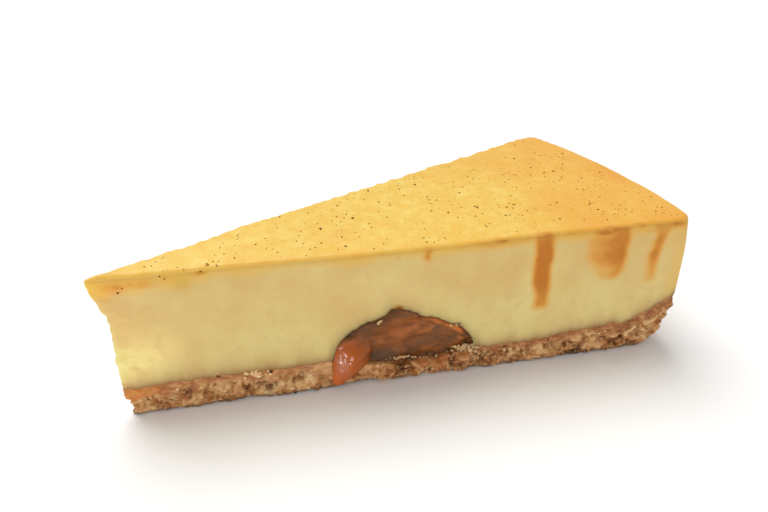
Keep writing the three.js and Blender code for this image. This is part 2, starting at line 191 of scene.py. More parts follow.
@dataclass(frozen=True)
class WedgePlan:
    """The wedge that all layers share, in millimetres.

    half_angle lies on both sides of the middle; the setbacks are how far a cut lies inside it
    at the top, under the overhang, which takes up the top overhang_height, and on the base.
    edge_radius rounds the top edge, and corner and melted_corner the upright corners at their
    foot and at their top. Below foot_height the rim is drawn in, by foot_inset at the floor.
    tip_x is the x of the cake's centre in the frame.
    """

    radius: float = 125.0
    half_angle: float = math.radians(13.5)
    height: float = 33.0
    base_height: float = 7.1
    glaze_thickness: float = 0.6
    edge_radius: float = 1.1
    tip_x: float = -62.86
    top_setback: float = 0.4
    filling_setback: float = 3.1
    base_setback: float = 3.8
    overhang_height: float = 9.0
    corner: float = 1.5
    melted_corner: float = 3.5
    foot_inset: float = 5.5
    foot_height: float = 8.0

    def outline(self, columns: Columns, z: Array, inset: Array | float = 0.0) -> tuple[Array, ...]:
        """Outline of the slice at a height.

        Two straight cuts touch a small circle at the tip and one at each corner, and the rim is
        an arc about the cake's centre; each radius follows from the height.

        Args:
            columns: Places along the outline.
            z: Height of each place, of any shape that ends in the number of columns.
            inset: How far inside the outline the places lie.

        Returns:
            x, y and the outward normal's x and y.
        """
        fall = np.clip((self.height - z) / self.overhang_height, 0.0, 1.0) ** 1.15
        setback = self.top_setback + (self.filling_setback - self.top_setback) * fall
        step = ramp(z, self.base_height - 3.4, self.base_height - 2.7)
        setback = self.base_setback + (setback - self.base_setback) * step
        sine = math.sin(self.half_angle)
        tip = np.maximum(setback / (1.0 / sine - 1.0) - inset, 0.1)
        foot = np.clip(1.0 - z / self.foot_height, 0.0, 1.0) ** 1.6
        rim = self.radius - self.foot_inset * foot - inset
        melt = np.clip((z - self.height) / self.overhang_height + 1.0, 0.0, 1.0) ** 1.5
        corner = np.maximum(self.corner + (self.melted_corner - self.corner) * melt - inset, 0.1)
        tip_centre = (tip + inset) / sine
        corner_centre = rim - corner
        corner_angle = self.half_angle - np.arcsin((inset + corner) / corner_centre)
        front = -math.pi / 2 - self.half_angle
        s = columns.share
        is_cut, is_corner, is_rim = (columns.stretch == kind.value for kind in list(Stretch)[:3])
        angle = np.select(
            [is_cut, is_corner, is_rim],
            [front, front - (corner_angle + front) * s, -corner_angle * (1.0 - s)],
            -front + 2.0 * (math.pi + front) * s,
        )
        nx, ny = np.cos(angle), np.sin(angle)
        corner_x = corner_centre * np.cos(corner_angle)
        corner_y = -corner_centre * np.sin(corner_angle)
        start_x, end_x = tip_centre + tip * nx, corner_x + corner * nx
        start_y, end_y = tip * ny, corner_y + corner * ny
        x = np.select(
            [is_cut, is_corner, is_rim], [start_x + (end_x - start_x) * s, end_x, rim * nx], start_x
        )
        y = np.select(
            [is_cut, is_corner, is_rim], [start_y + (end_y - start_y) * s, end_y, rim * ny], start_y
        )
        return x, y * columns.mirror, nx, ny * columns.mirror

    def rounding(self, depth: Array) -> Array:
        """How far the rounded top edge lies back at a depth: a quarter circle's sagitta."""
        share = np.clip(1.0 - depth / self.edge_radius, 0.0, 1.0)
        return self.edge_radius * (1.0 - np.sqrt(1.0 - share**2))

    def polar(self, x: Array, y: Array) -> tuple[Array, Array]:
        """Distance r from the cake's centre, and side, the angle over the half angle."""
        return np.hypot(x, y), np.arctan2(y, x) / self.half_angle

    def on_cut(self, r: Array, z: Array, side: float, push: Array | float = 0.0) -> Array:
        """Points at r and z on the plane at side, moved out of the nearer cut by push.

        Args:
            r: Distance from the cake's centre.
            z: Height.
            side: Share of the way from the front cut, -1, to the back cut, +1.
            push: How far the points lie out of the nearer cut.

        Returns:
            The points, with x, y and z along the last axis.
        """
        angle = side * self.half_angle
        outward = -1.0 if side < 0 else 1.0
        x = r * math.cos(angle) - push * math.sin(self.half_angle)
        y = r * math.sin(angle) + outward * push * math.cos(self.half_angle)
        return np.stack(np.broadcast_arrays(x, y, z), axis=-1)

    def seam(self, x: Array, y: Array) -> Array:
        """Height of the biscuit under the filling: level, thinner at one place, up at the rim.

        It climbs by a power of the share of the last 14 mm before the rim, sinks and swells as
        a bell curve at one place each, and is uneven by noise of 7, 2.6, 1.1 and 0.5 mm.

        Args:
            x: Place on the plan, from tip to rim.
            y: Place across it.

        Returns:
            The height there.
        """
        r = np.hypot(x, y)
        climb = 6.3 * np.clip((r - self.radius + 14.0) / 14.0, 0.0, 1.0) ** 1.4
        uneven = 0.3 * smooth_noise(x / 7, y / 7, 3) + 0.25 * smooth_noise(x / 2.6, y / 2.6, 8)
        ragged = 0.2 * smooth_noise(x / 1.1, y / 1.1, 4) + 0.12 * smooth_noise(x / 0.5, y / 0.5, 6)
        climb *= 1.0 + 0.2 * smooth_noise(y / 9, 1, 5)
        climb += 0.9 * bell(r, 109.7, 1.6) * (y < 0)
        return self.base_height - 1.4 * bell(r, 86.0, 11.0) + climb + uneven + ragged

    def crown(self, x: Array, y: Array) -> Array:
        """Height of the top: raised along the back cut, sagging along the front, wavy all over.

        The raise is half a millimetre times side times a bell curve of r, and the waves are
        noise of 17 and 4 mm.

        Args:
            x: Place on the plan, from tip to rim.
            y: Place across it.

        Returns:
            The height there.
        """
        r, side = self.polar(x, y)
        waves = 0.12 * smooth_noise(x / 17, y / 17, 2) + 0.04 * smooth_noise(x / 4, y / 4, 5)
        return self.height + 0.5 * side * bell(r, 50.0, 40.0) + waves

    def cut_relief(self, x: Array, y: Array, z: Array) -> Array:
        """How far a cut stands out: long soft swells, and faint upright marks of the knife.

        Args:
            x: Place on the plan, from tip to rim.
            y: Place across it.
            z: Height.

        Returns:
            The relief along the outward normal.
        """
        swells = 0.3 * smooth_noise(x / 22, y / 22, z / 16)
        swells = swells + 0.1 * smooth_noise(x / 5, y / 5, z / 12)
        drag = 0.04 * smooth_noise(x / 1.3, y / 1.3, z / 14)
        return swells + drag

    def unfold(self, x: Array, y: Array, z: Array) -> tuple[Array, Array]:
        """Place as on the front cut carried on over the top: r, and the depth below the edge.

        The depth is the height missing to the top less the distance from the cut, so that it
        is 0 along the top's front edge, more on the cut and less than 0 on the top.

        Args:
            x: Place on the plan, from tip to rim.
            y: Place across it.
            z: Height.

        Returns:
            r and the depth.
        """
        r, side = self.polar(x, y)
        from_cut = r * np.sin(np.clip((1.0 + side) * self.half_angle, 0.0, 1.0))
        return r, self.crown(x, y) - z - from_cut


PLAN = WedgePlan()


@dataclass(frozen=True)
class Arch:
    """The hollow in the filling that the caramel lies in, an arch carried round the cake.

    crown_at is where its crown lies and flow_at where the caramel has run over the base, both
    as distances from the cake's centre. inward and outward are its widths on both sides of the
    crown, rise and peak its height and that of the tip on it, and floor the height of its bed.
    stain_reach is how far its brown reaches into the cream, partly caramel soaked in and partly
    painted shade round the hollow, and stain how strong it is.
    """

    crown_at: float = 59.0
    flow_at: float = 48.3
    inward: float = 13.4
    outward: float = 17.9
    rise: float = 10.6
    peak: float = 1.3
    floor: float = 4.6
    stain_reach: float = 1.0
    stain: float = 0.85

    def centre(self, side: Array | float) -> Array:
        """Distance of the crown from the cake's centre: it wanders by a sine of side."""
        return self.crown_at + 1.6 * np.sin(1.9 * (side + 1.0))

    def top(self, r: Array, side: Array | float) -> Array:
        """Height of the arch: a quarter circle inwards, a blunter fall outwards, and a peak.

        Outwards it falls with the 2.6th power of the share of its width. Its height swells a
        little by a sine of side, and its edge is ragged by noise of 2.6 and 0.8 mm.

        Args:
            r: Distance from the cake's centre.
            side: Share of the way from the front cut, -1, to the back cut, +1.

        Returns:
            The height there.
        """
        across = r - self.centre(side)
        inner = np.sqrt(np.clip(1.0 - (across / self.inward) ** 2, 0.0, 1.0))
        outer = np.clip(1.0 - np.abs(across / self.outward) ** 2.6, 0.0, 1.0)
        fall = np.where(across < 0, inner, outer)
        swell = 1.0 + 0.06 * np.sin(4.1 * (side + 1.0))
        ragged = 0.35 * smooth_noise(r / 2.6, side, 3) + 0.2 * smooth_noise(r / 0.8, side, 5)
        arch = self.rise * fall + 0.7 * bell(across, 13.8, 2.5)
        arch += self.peak * ramp(across, -2.6, -1.0) * (1.0 - ramp(across, 0.5, 5.5))
        return PLAN.base_height + swell * arch + (ragged - 0.95) * ramp(fall, 0.1, 0.7)

    def bottom(self, r: Array) -> Array:
        """Height of the biscuit under the caramel: a shallow dish with small pits."""
        pits = 0.5 * smooth_noise(r / 3, 2, 6) + 0.35 * smooth_noise(r / 1.1, 5, 2)
        return self.floor + pits + 1.2 * bell(r, self.crown_at + self.outward, 5.0)

    def within(self, r: Array, side: Array | float, ease: float = 0.5) -> Array:
        """1 inside the arch's width and 0 outside, eased over a short way at both ends.

        Args:
            r: Distance from the cake's centre.
            side: Share of the way from the front cut, -1, to the back cut, +1.
            ease: Length over which it is eased.

        Returns:
            The share, 0 to 1.
        """
        across = r - self.centre(side)
        return ramp(across, -self.inward - ease, -self.inward) * (
            1.0 - ramp(across, self.outward - ease, self.outward)
        )

    def browned(self, r: Array, z: Array, side: Array) -> Array:
        """How brown the caramel has made the cream round the arch.

        It falls exponentially with the distance to the arch, which is taken as the least one
        over a few places of its edge up to 1.2 mm to either side, and is fainter outwards. The
        brown is partly caramel soaked into the cream and partly painted shade at the hollow's edge.

        Args:
            r: Distance from the cake's centre.
            z: Height.
            side: Share of the way from the front cut, -1, to the back cut, +1.

        Returns:
            How brown, 0 to 1.
        """
        brown = np.zeros(r.shape)
        for shift in np.linspace(-1.2, 1.2, 7):
            higher = np.maximum(z - self.top(r + shift, side), 0.0)
            near = np.exp(-np.hypot(shift, higher) / self.stain_reach)
            brown = np.maximum(brown, near * self.within(r + shift, side))
        return self.stain * (brown * (1.0 - 0.35 * ramp(r, 58.0, 66.0)))


ARCH = Arch()


@dataclass(frozen=True)
class Run:
    """Glaze that has run down the front cut, in millimetres.

    start and end are its distances from the cake's centre at the top and at the foot, depth how
    far below the top's edge it ends, width and foot_width its widths, flare how much wider its
    start is, round_end the share of its length that its round end takes, strength how deep its
    colour is and lean how much more of it lies on the rim's side.
    """

    start: float
    end: float
    depth: float
    width: float
    foot_width: float
    flare: float = 1.4
    round_end: float = 0.16
    strength: float = 1.0
    lean: float = 0.0

    def centre(self, t: Array) -> Array:
        """Distance of its centre line from the cake's centre, at share t of the way down."""
        return self.start + (self.end - self.start) * t + 0.25 * np.sin(9.0 * t)

    def half_width(self, t: Array) -> Array:
        """Half its width at share t: straight sides, a flare at the start and a round end.

        Args:
            t: Share of the way down the run.

        Returns:
            Half the width there.
        """
        wide = self.width + (self.foot_width - self.width) * t
        flare = self.flare * np.clip(1.0 - t / 0.3, 0.0, 1.0) ** 2
        return (wide + flare) / 2.0 * self.rounding(t)

    def rounding(self, t: Array) -> Array:
        """1 at first, then a full curve down to a blunt end over the round end's share."""
        return np.sqrt(1.0 - 0.98 * np.clip((t - 1.0 + self.round_end) / self.round_end, 0, 1) ** 3)

    def cover(self, r: Array, below: Array) -> Array:
        """How deep its colour is at r and a depth below the edge, soft over about a millimetre.

        Args:
            r: Distance from the cake's centre.
            below: Depth below the top's front edge.

        Returns:
            The colour's depth, 0 where there is none.
        """
        t = np.clip(below / self.depth, 0.0, 1.0)
        ragged = r + 0.3 * smooth_noise(below / 2.4, self.start, 1)
        ragged = ragged + 0.12 * smooth_noise(below, r, 5)
        inside = self.half_width(t) - np.abs(ragged - self.centre(t))
        offset = np.clip((r - self.centre(t)) / np.maximum(self.half_width(t), 0.5), -1.0, 1.0)
        ends = ramp(below, -2.2, 1.0) * (1.0 - ramp(below, self.depth - 2.0, self.depth + 1.0))
        deepest = 1.0 - 0.32 * ramp(t, 0.5, 0.85) - 0.2 * (1.0 - ramp(t, 0.0, 0.3))
        deepest = deepest - 0.12 * smooth_noise(below / 2.0, self.end, 6)
        return self.strength * ramp(inside, -1.1, 1.7) * ends * deepest * (1.0 + self.lean * offset)


DRIPS = (
    Run(90.2, 91.2, 19.3, 4.9, 4.2, flare=1.1, round_end=0.08, strength=1.12),
    Run(104.4, 106.7, 13.8, 11.2, 10.0, flare=0.3, round_end=0.9, strength=0.8, lean=0.42),
    Run(117.7, 116.3, 15.8, 4.0, 3.2, flare=4.0, strength=0.85),
    Run(64.8, 64.9, 4.3, 2.2, 2.0, flare=1.5, round_end=0.4, strength=1.0),
    Run(6.8, 5.4, 3.4, 4.6, 3.4, flare=2.0, round_end=0.8, strength=0.35),
)


@dataclass(frozen=True)
class Patch:
    """A soft oval patch on the front cut, its long axis tilted by slope.

    r and z give its middle and length and thickness its half sizes, all in millimetres; z may
    also be a depth below the edge where the patch is looked up by depth.
    """

    r: float
    z: float
    length: float
    thickness: float
    slope: float = 0.0
    strength: float = 1.0

    def cover(self, r: Array, z: Array) -> Array:
        """Gaussian of the distances along and across its axis, in half sizes.

        Args:
            r: Distance from the cake's centre.
            z: Height, or depth below the edge.

        Returns:
            How strongly the patch shows there, strength at its middle.
        """
        along = (r - self.r) / self.length
        across = (z - self.z - self.slope * (r - self.r)) / self.thickness
        return self.strength * np.exp(-(along**2) - across**2)


EDGE_SMEARS = (
    Patch(121.0, 0.9, 3.6, 1.5, strength=0.85),
    Patch(118.0, 1.6, 4.5, 0.7, -0.12, strength=0.8),
    Patch(113.5, 0.4, 4.5, 0.9, strength=0.6),
    Patch(119.5, -0.8, 3.5, 1.6, 0.25, strength=0.45),
    Patch(115.0, 1.8, 3.2, 1.3, -0.2, strength=0.5),
    Patch(118.0, 4.0, 5.0, 4.0, strength=0.24),
    Patch(105.0, 0.6, 5.0, 2.1, strength=0.85),
    Patch(90.4, 0.3, 3.2, 1.8, strength=0.9),
    Patch(81.0, 0.6, 9.0, 1.5, strength=0.7),
    Patch(98.0, 0.6, 7.0, 1.6, strength=0.5),
    Patch(111.5, 0.6, 5.0, 2.2, strength=0.6),
    Patch(5.6, 2.6, 2.8, 1.4, strength=0.66),
    Patch(9.0, 2.0, 5.5, 1.6, strength=0.42),
    Patch(14.8, 1.4, 1.5, 1.0, strength=0.4),
    Patch(20.8, 0.8, 2.2, 0.8, strength=0.6),
    Patch(34.0, 1.0, 7.0, 0.6, strength=0.2),
    Patch(44.0, 0.3, 42.0, 1.5, strength=0.26),
    Patch(59.3, 13.5, 1.2, 0.45, 0.15, strength=1.0),
)
# TIP_GLOW is painted light: a pale glow laid on the cut low at the tip
TIP_GLOW = Patch(6.0, 12.0, 9.0, 6.5, 0.3)
OLIVE_SPOT = Patch(17.3, 2.6, 1.9, 1.7, strength=0.55)


def glaze_stain(r: Array, below: Array) -> Array:
    """Depth of the glaze's orange at r and a depth below the front edge, by the strongest.

    Args:
        r: Distance from the cake's centre.
        below: Depth below the top's front edge.

    Returns:
        The orange's depth, 0 to 1.3.
    """
    runs = np.max([run.cover(r, below) for run in DRIPS], axis=0)
    smears = np.max([patch.cover(r, below) for patch in EDGE_SMEARS], axis=0)
    streaky = 1.0 + 0.35 * smooth_noise(r / 1.5, below / 0.7, 3)
    streaky = streaky * (1.0 + 0.3 * smooth_noise(r / 4.0, below / 1.6, 8))
    return np.clip(np.maximum(runs, smears * streaky), 0.0, 1.3)


def face_values(p: Array) -> dict[str, Array]:
    """Named values that colour the cuts: depth, golden edge, rim, stain and blotches.

    Args:
        p: Points, number by 3.

    Returns:
        below, the depth under the top in millimetres, less where the glaze has melted down;
        gild, how golden the edge is there; rim, 1 on the rim's wall; drip, the glaze's stain;
        caramel, the brown round the hollow, partly caramel soaked in and partly painted shade;
        crumby, the brown fading up from the biscuit; lit, a painted glow of light low at the tip;
        olive, an olive blotch near the edge.
    """
    x, y, z = p.T
    r, side = PLAN.polar(x, y)
    _, unfolded = PLAN.unfold(x, y, z)
    near_front = 1.0 - ramp(r * (1.0 + side) * PLAN.half_angle, 1.8, 3.2)
    within = ARCH.within(r, side)
    low = PLAN.seam(x, y) * (1.0 - within) + ARCH.top(r, side) * within
    above = np.maximum(z - low, 0.0)
    melted = 2.2 * (1.0 - ramp(r, 6.0, 26.0)) * (1.0 + 0.5 * smooth_noise(r / 3, side, 7))
    fade = 1.3 + 0.5 * smooth_noise(x / 2.5, y / 2.5, 2) + 0.7 * (1.0 - ramp(r, 20.0, 45.0))
    return {
        "below": PLAN.crown(x, y) - z - melted,
        "gild": 0.8 + 0.1 * ramp(r, 55.0, 80.0) + 0.1 * ramp(r, 95.0, 120.0),
        "olive": OLIVE_SPOT.cover(r, unfolded) * near_front,
        "rim": ramp(r, PLAN.radius - 6.0, PLAN.radius - 1.0),
        "drip": glaze_stain(r, unfolded) * near_front,
        # caramel: brown of soaked-in caramel and painted shade round the hollow
        "caramel": ARCH.browned(r, z, side),
        "crumby": 0.95 * (1.0 - within) * np.exp(-above / fade),
        "lit": TIP_GLOW.cover(r, z) * near_front,
    }


@dataclass
class Surface:
    """A closed mesh: points in millimetres about the cake's centre, faces, values by point."""

    points: Array
    quads: Array
    triangles: Array = field(default_factory=lambda: np.empty((0, 3), int))
    values: dict[str, Array] = field(default_factory=dict)

    @classmethod
    def join(cls, parts: list["Surface"]) -> "Surface":
        """One surface of several, each keeping its own points.

        Args:
            parts: Surfaces that have the same named values.

        Returns:
            The joined surface.
        """
        starts = np.cumsum([0] + [len(part.points) for part in parts])
        return cls(
            np.vstack([part.points for part in parts]),
            np.vstack([part.quads + start for part, start in zip(parts, starts)]),
            np.vstack([part.triangles + start for part, start in zip(parts, starts)]),
            {
                name: np.concatenate([part.values[name] for part in parts])
                for name in parts[0].values
            },
        )

    def build(
        self, name: str, material: bpy.types.Material, crease: float = 180.0
    ) -> bpy.types.Object:
        """Makes the object, held inside the box of the solids.

        Args:
            name: The piece's name.
            material: Its finish.
            crease: Angle in degrees above which an edge is shaded sharp.

        Returns:
            The new object, at the origin, riding on the slice.
        """
        metres = (self.points + [PLAN.tip_x, 0.0, 0.0]) * MM
        metres = np.clip(metres, np.array(CAD_BOX[0]), np.array(CAD_BOX[1]))
        corners = np.concatenate([self.quads.ravel(), self.triangles.ravel()]).astype(np.int32)
        totals = np.repeat([4, 3], [len(self.quads), len(self.triangles)])
        mesh = bpy.data.meshes.new(name)
        mesh.vertices.add(len(metres))
        mesh.vertices.foreach_set("co", metres.ravel())
        mesh.loops.add(len(corners))
        mesh.loops.foreach_set("vertex_index", corners)
        mesh.polygons.add(len(totals))
        mesh.polygons.foreach_set("loop_start", (np.cumsum(totals) - totals).astype(np.int32))
        mesh.update(calc_edges=True)
        mesh.validate()
        for key, numbers in self.values.items():
            mesh.attributes.new(key, "FLOAT", "POINT").data.foreach_set("value", numbers)
        mesh.shade_smooth()
        if crease < 180.0:
            mesh.set_sharp_from_angle(angle=math.radians(crease))
        mesh.materials.append(material)
        piece = bpy.data.objects.new(name, mesh)
        bpy.context.scene.collection.objects.link(piece)
        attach(piece, "root")
        LOG.info("%s: %d points, %d faces", name, len(metres), len(totals))
        return piece


def grid_faces(index: Array) -> Array:
    """Four-cornered faces of a grid of point numbers, walked along a row and then up."""
    corners = [index[:-1, :-1], index[:-1, 1:], index[1:, 1:], index[1:, :-1]]
    return np.stack(corners, axis=-1).reshape(-1, 4)


def closed_shell(
    columns: Columns,
    rows: Array,
    under: Callable[[Array, Array], Array],
    over: Callable[[Array, Array], Array],
    values: Callable[[Array], dict[str, Array]],
    row_values: dict[str, Array] | None = None,
) -> Surface:
    """Closes a stack of loops round the wedge by a grid under the first and over the last.

    A grid's lines run straight from the front cut's points to the mirrored ones of the back
    cut, at the height that under or over gives; its first line is the loop round the tip.

    Args:
        columns: The places along each loop.
        rows: The loops, lowest first, of shape loops by columns by 3.
        under: Height of the lower grid at x and y.
        over: Height of the upper grid.
        values: Gives each named value of an array of points.
        row_values: Values that only the loops have; they are 0 in the grids.

    Returns:
        The closed surface.
    """
    levels, count = rows.shape[:2]
    half, across = columns.half, columns.across
    index = np.arange(levels * count).reshape(levels, count)
    points = [rows.reshape(-1, 3)]
    quads = [grid_faces(np.hstack([index, index[:, :1]]))]
    triangles = []
    share = (np.arange(1, across) / across)[None, :, None]
    for level, height, flip in ((0, under, 1), (levels - 1, over, -1)):
        loop, ring = index[level], rows[level]
        front, back = ring[1:half, None], ring[2 * half - 1 : half : -1, None]
        inner = front * (1.0 - share) + back * share
        inner[..., 2] = height(inner[..., 0], inner[..., 1])
        grid = np.empty((half, across + 1), int)
        grid[:, 0] = loop[:half]
        grid[:, -1] = loop[2 * half : half : -1]
        grid[0, 1:-1] = loop[2 * half + 1 :][::-1]
        first = sum(len(part) for part in points)
        grid[1:, 1:-1] = first + np.arange((half - 1) * (across - 1)).reshape(half - 1, -1)
        points.append(inner.reshape(-1, 3))
        quads.append(grid_faces(grid)[:, ::flip])
        rim = np.full(across, loop[half])
        triangles.append(np.stack([grid[-1, :-1], grid[-1, 1:], rim], axis=-1)[:, ::flip])
    everything = np.vstack(points)
    named = values(everything)
    for key, numbers in (row_values or {}).items():
        named[key] = np.zeros(len(everything))
        named[key][: levels * count] = numbers.ravel()
    return Surface(everything, np.vstack(quads), np.vstack(triangles), named)


def closed_run(sections: Array, values: dict[str, Array]) -> Surface:
    """Closes a run of sections, each anticlockwise seen from where the last one looks.

    Args:
        sections: Sections by points by 3; each end is closed by a fan about its middle.
        values: Named values, one for each point of each section.

    Returns:
        The closed surface.
    """
    levels, count = sections.shape[:2]
    index = np.arange(levels * count).reshape(levels, count)
    hubs = sections[[0, -1]].mean(axis=1)
    here, after = index, np.roll(index, -1, axis=1)
    hub = levels * count
    ends = [
        np.stack([np.full(count, hub), after[0], here[0]], axis=-1),
        np.stack([np.full(count, hub + 1), here[-1], after[-1]], axis=-1),
    ]
    named = {
        key: np.concatenate([numbers.ravel(), numbers[[0, -1]].mean(axis=1)])
        for key, numbers in values.items()
    }
    points = np.vstack([sections.reshape(-1, 3), hubs])
    return Surface(points, grid_faces(np.hstack([index, index[:, :1]])), np.vstack(ends), named)


def linear(code: str) -> tuple[float, float, float, float]:
    """Linear colour with alpha 1 of an sRGB hex code such as "#f6cd60".

    Args:
        code: The colour, such as "#f6cd60".

    Returns:
        Red, green, blue and alpha.
    """
    levels = [int(code[i : i + 2], 16) / 255.0 for i in (1, 3, 5)]
    tuned = [c / 12.92 if c <= 0.04045 else ((c + 0.055) / 1.055) ** 2.4 for c in levels]
    return (*tuned, 1.0)


def per_metre(millimetres: float) -> float:
    """Texture scale at which one cell of a pattern measures that many millimetres."""
    return 1.0 / (millimetres * MM)


# A mix node that blends colours has its factor at input 0, its colours at 6 and 7 and its
# result at output 2; a range node carries input 0 from the range 1 to 2 over to the range 3 to 4
BLEND = {"data_type": "RGBA"}
BLENDED = 2
SMOOTH = {"interpolation_type": "SMOOTHSTEP"}


class Nodes:
    """One material and the nodes of its tree."""

    def __init__(self, name: str) -> None:
        """Makes the material, with its surface shader.

        Args:
            name: The material's name.
        """
        self.material = bpy.data.materials.new(name)
        self.material.use_nodes = True
        self.tree = self.material.node_tree

    def fill(self, node: bpy.types.Node, inputs: dict) -> None:
        """Sets or links the inputs of a node.

        Args:
            node: The node.
            inputs: By name or number of the input, a value or another node's output. A name
                that the node has as a property sets that instead, and "stops" fills a colour
                ramp with pairs of a shade and the hex code of its colour.
        """
        for key, value in inputs.items():
            if isinstance(value, Socket):
                self.tree.links.new(value, node.inputs[key])
            elif key == "stops":
                elements = node.color_ramp.elements
                while len(elements) < len(value):
                    elements.new(1.0)
                for element, (position, code) in zip(elements, value):
                    element.position = position
                    element.color = linear(code)
            elif isinstance(key, str) and hasattr(node, key):
                setattr(node, key, value)
            else:
                node.inputs[key].default_value = value

    def add(self, kind: str, inputs: dict, output: int | str = 0) -> Socket:
        """Adds a node.

        Args:
            kind: The node's type, without the leading ShaderNode.
            inputs: What its inputs and properties are, as fill takes it.
            output: Name or number of the output that is wanted.

        Returns:
            That output of the new node.
        """
        made = self.tree.nodes.new("ShaderNode" + kind)
        self.fill(made, inputs)
        return made.outputs[output]

    def tinted(self, colour: Socket, tints: dict[str, str]) -> Socket:
        """Lays tints over a colour, one after the other.

        Args:
            colour: The colour under the tints.
            tints: By the points' named value that says how strong it is, each tint's hex code.

        Returns:
            The tinted colour.
        """
        for name, code in tints.items():
            share = self.add("Attribute", {"attribute_name": name}, "Fac")
            colour = self.add("Mix", {**BLEND, 0: share, 6: colour, 7: linear(code)}, BLENDED)
        return colour

    def dress(self, inputs: dict) -> bpy.types.Material:
        """Fills in the surface shader and gives the finished material."""
        self.fill(self.tree.nodes["Principled BSDF"], inputs)
        return self.material


@dataclass(frozen=True)
class CreamFilling:
    """Set cream cheese: dense, pale and dull, and light soaks a few millimetres into it."""

    name: str = "baked_cream_filling"
    cream: str = "#e6d18a"
    shade: str = "#ddbb76"
    pale: str = "#fbe99a"
    golden: str = "#f0bc4a"
    olive: str = "#d3a53a"
    toasted: str = "#e6b755"
    caramel: str = "#5f4320"
    crumby: str = "#aa7343"
    light_run: str = "#e4a442"
    deep_run: str = "#c6771e"

    def colour(self, nodes: Nodes, place: Socket) -> Socket:
        """Colour of a cut from the points' named values, the same on filling and drips.

        Cream mottled over 14 mm and paler lower down turns golden over the top 3 mm, toasted
        at the rim, orange under the glaze that has run, and brown at caramel and biscuit. The
        brown round the caramel is partly painted shade, and a painted glow of light lies low at
        the tip.

        Args:
            nodes: The material's nodes.
            place: The point's place on the slice.

        Returns:
            The colour.
        """
        # Broad clouds and small flecks give the eye a mass that was baked, not one flat yellow
        below = nodes.add("Attribute", {"attribute_name": "below"}, "Fac")
        clouds = nodes.add("TexNoise", {"Scale": per_metre(14), "Detail": 4.0, "Vector": place})
        lower = nodes.add("MapRange", {0: below, 1: 3.0, 2: 25.0, 3: -0.15, 4: 0.15})
        paler = nodes.add("Math", {"operation": "ADD", 0: clouds, 1: lower})
        creams = [(0.33, self.shade), (0.67, self.cream)]
        colour = nodes.add("ValToRGB", {"stops": creams, "Fac": paler})
        # The lit tint, in the pale colour, is a painted glow of light low at the tip
        colour = nodes.tinted(colour, {"lit": self.pale})
        fine = nodes.add("TexNoise", {"Scale": per_metre(2.2), "Detail": 5.0, "Vector": place})
        fleck = nodes.add("MapRange", {0: fine, 1: 0.5, 2: 0.75, 3: 0.0, 4: 0.5})
        colour = nodes.add("Mix", {**BLEND, 0: fleck, 6: colour, 7: linear(self.shade)}, BLENDED)
        # The golden edge wanders with the clouds, as far as the heat of the oven has reached
        wander = nodes.add("Math", {"operation": "MULTIPLY_ADD", 0: clouds, 1: 5.0, 2: -2.5})
        depth = nodes.add("Math", {"operation": "ADD", 0: below, 1: wander})
        gild = nodes.add("Attribute", {"attribute_name": "gild"}, "Fac")
        band = nodes.add("MapRange", {**SMOOTH, 0: depth, 1: 0.2, 2: 3.6, 3: gild, 4: 0.0})
        colour = nodes.add("Mix", {**BLEND, 0: band, 6: colour, 7: linear(self.golden)}, BLENDED)
        rim = nodes.add("Attribute", {"attribute_name": "rim"}, "Fac")
        baked = nodes.add("Math", {"operation": "MULTIPLY", "use_clamp": True, 0: rim, 1: clouds})
        colour = nodes.add("Mix", {**BLEND, 0: baked, 6: colour, 7: linear(self.toasted)}, BLENDED)
        colour = nodes.tinted(colour, {"crumby": self.crumby, "olive": self.olive})
        # Glaze that has run is pale at its thin edges and deep orange where it is thick
        drip = nodes.add("Attribute", {"attribute_name": "drip"}, "Fac")
        uneven = nodes.add("Math", {"operation": "MULTIPLY_ADD", 0: fine, 1: 0.5, 2: -0.25})
        shift = nodes.add("Math", {"operation": "MULTIPLY_ADD", 0: uneven, 1: drip, 2: drip})
        thin = nodes.add("MapRange", {**SMOOTH, 0: shift, 1: 0.0, 2: 0.8})
        deep = nodes.add("MapRange", {**SMOOTH, 0: shift, 1: 0.45, 2: 1.1})
        ends = {6: linear(self.light_run), 7: linear(self.deep_run)}
        run = nodes.add("Mix", {**BLEND, 0: deep, **ends}, BLENDED)
        colour = nodes.add("Mix", {**BLEND, 0: thin, 6: colour, 7: run}, BLENDED)
        # The caramel tint is partly soaked-in caramel and partly painted shade round the hollow
        return nodes.tinted(colour, {"caramel": self.caramel})

    def build(self) -> bpy.types.Material:
        """Dull cream that light soaks into, with a fine grain left by the knife.

        Returns:
            The material.
        """
        nodes = Nodes(self.name)
        place = nodes.add("TexCoord", {}, "Object")
        # The real grain is finer than 0.1 mm; at 0.5 mm it shows and breaks up the highlights
        grain = nodes.add("TexNoise", {"Scale": per_metre(0.5), "Detail": 5.0, "Vector": place})
        relief = {"Strength": 0.35, "Distance": 0.06 * MM, "Height": grain}
        return nodes.dress(
            {
                "Normal": nodes.add("Bump", relief),
                "Base Color": self.colour(nodes, place),
                "Roughness": 0.6,
                "Specular IOR Level": 0.3,
                # Red light soaks in deepest, which softens the shadows and warms them
                "Subsurface Weight": 0.4,
                "Subsurface Radius": (1.0, 0.62, 0.24),
                "Subsurface Scale": 5.0 * MM,
            }
        )


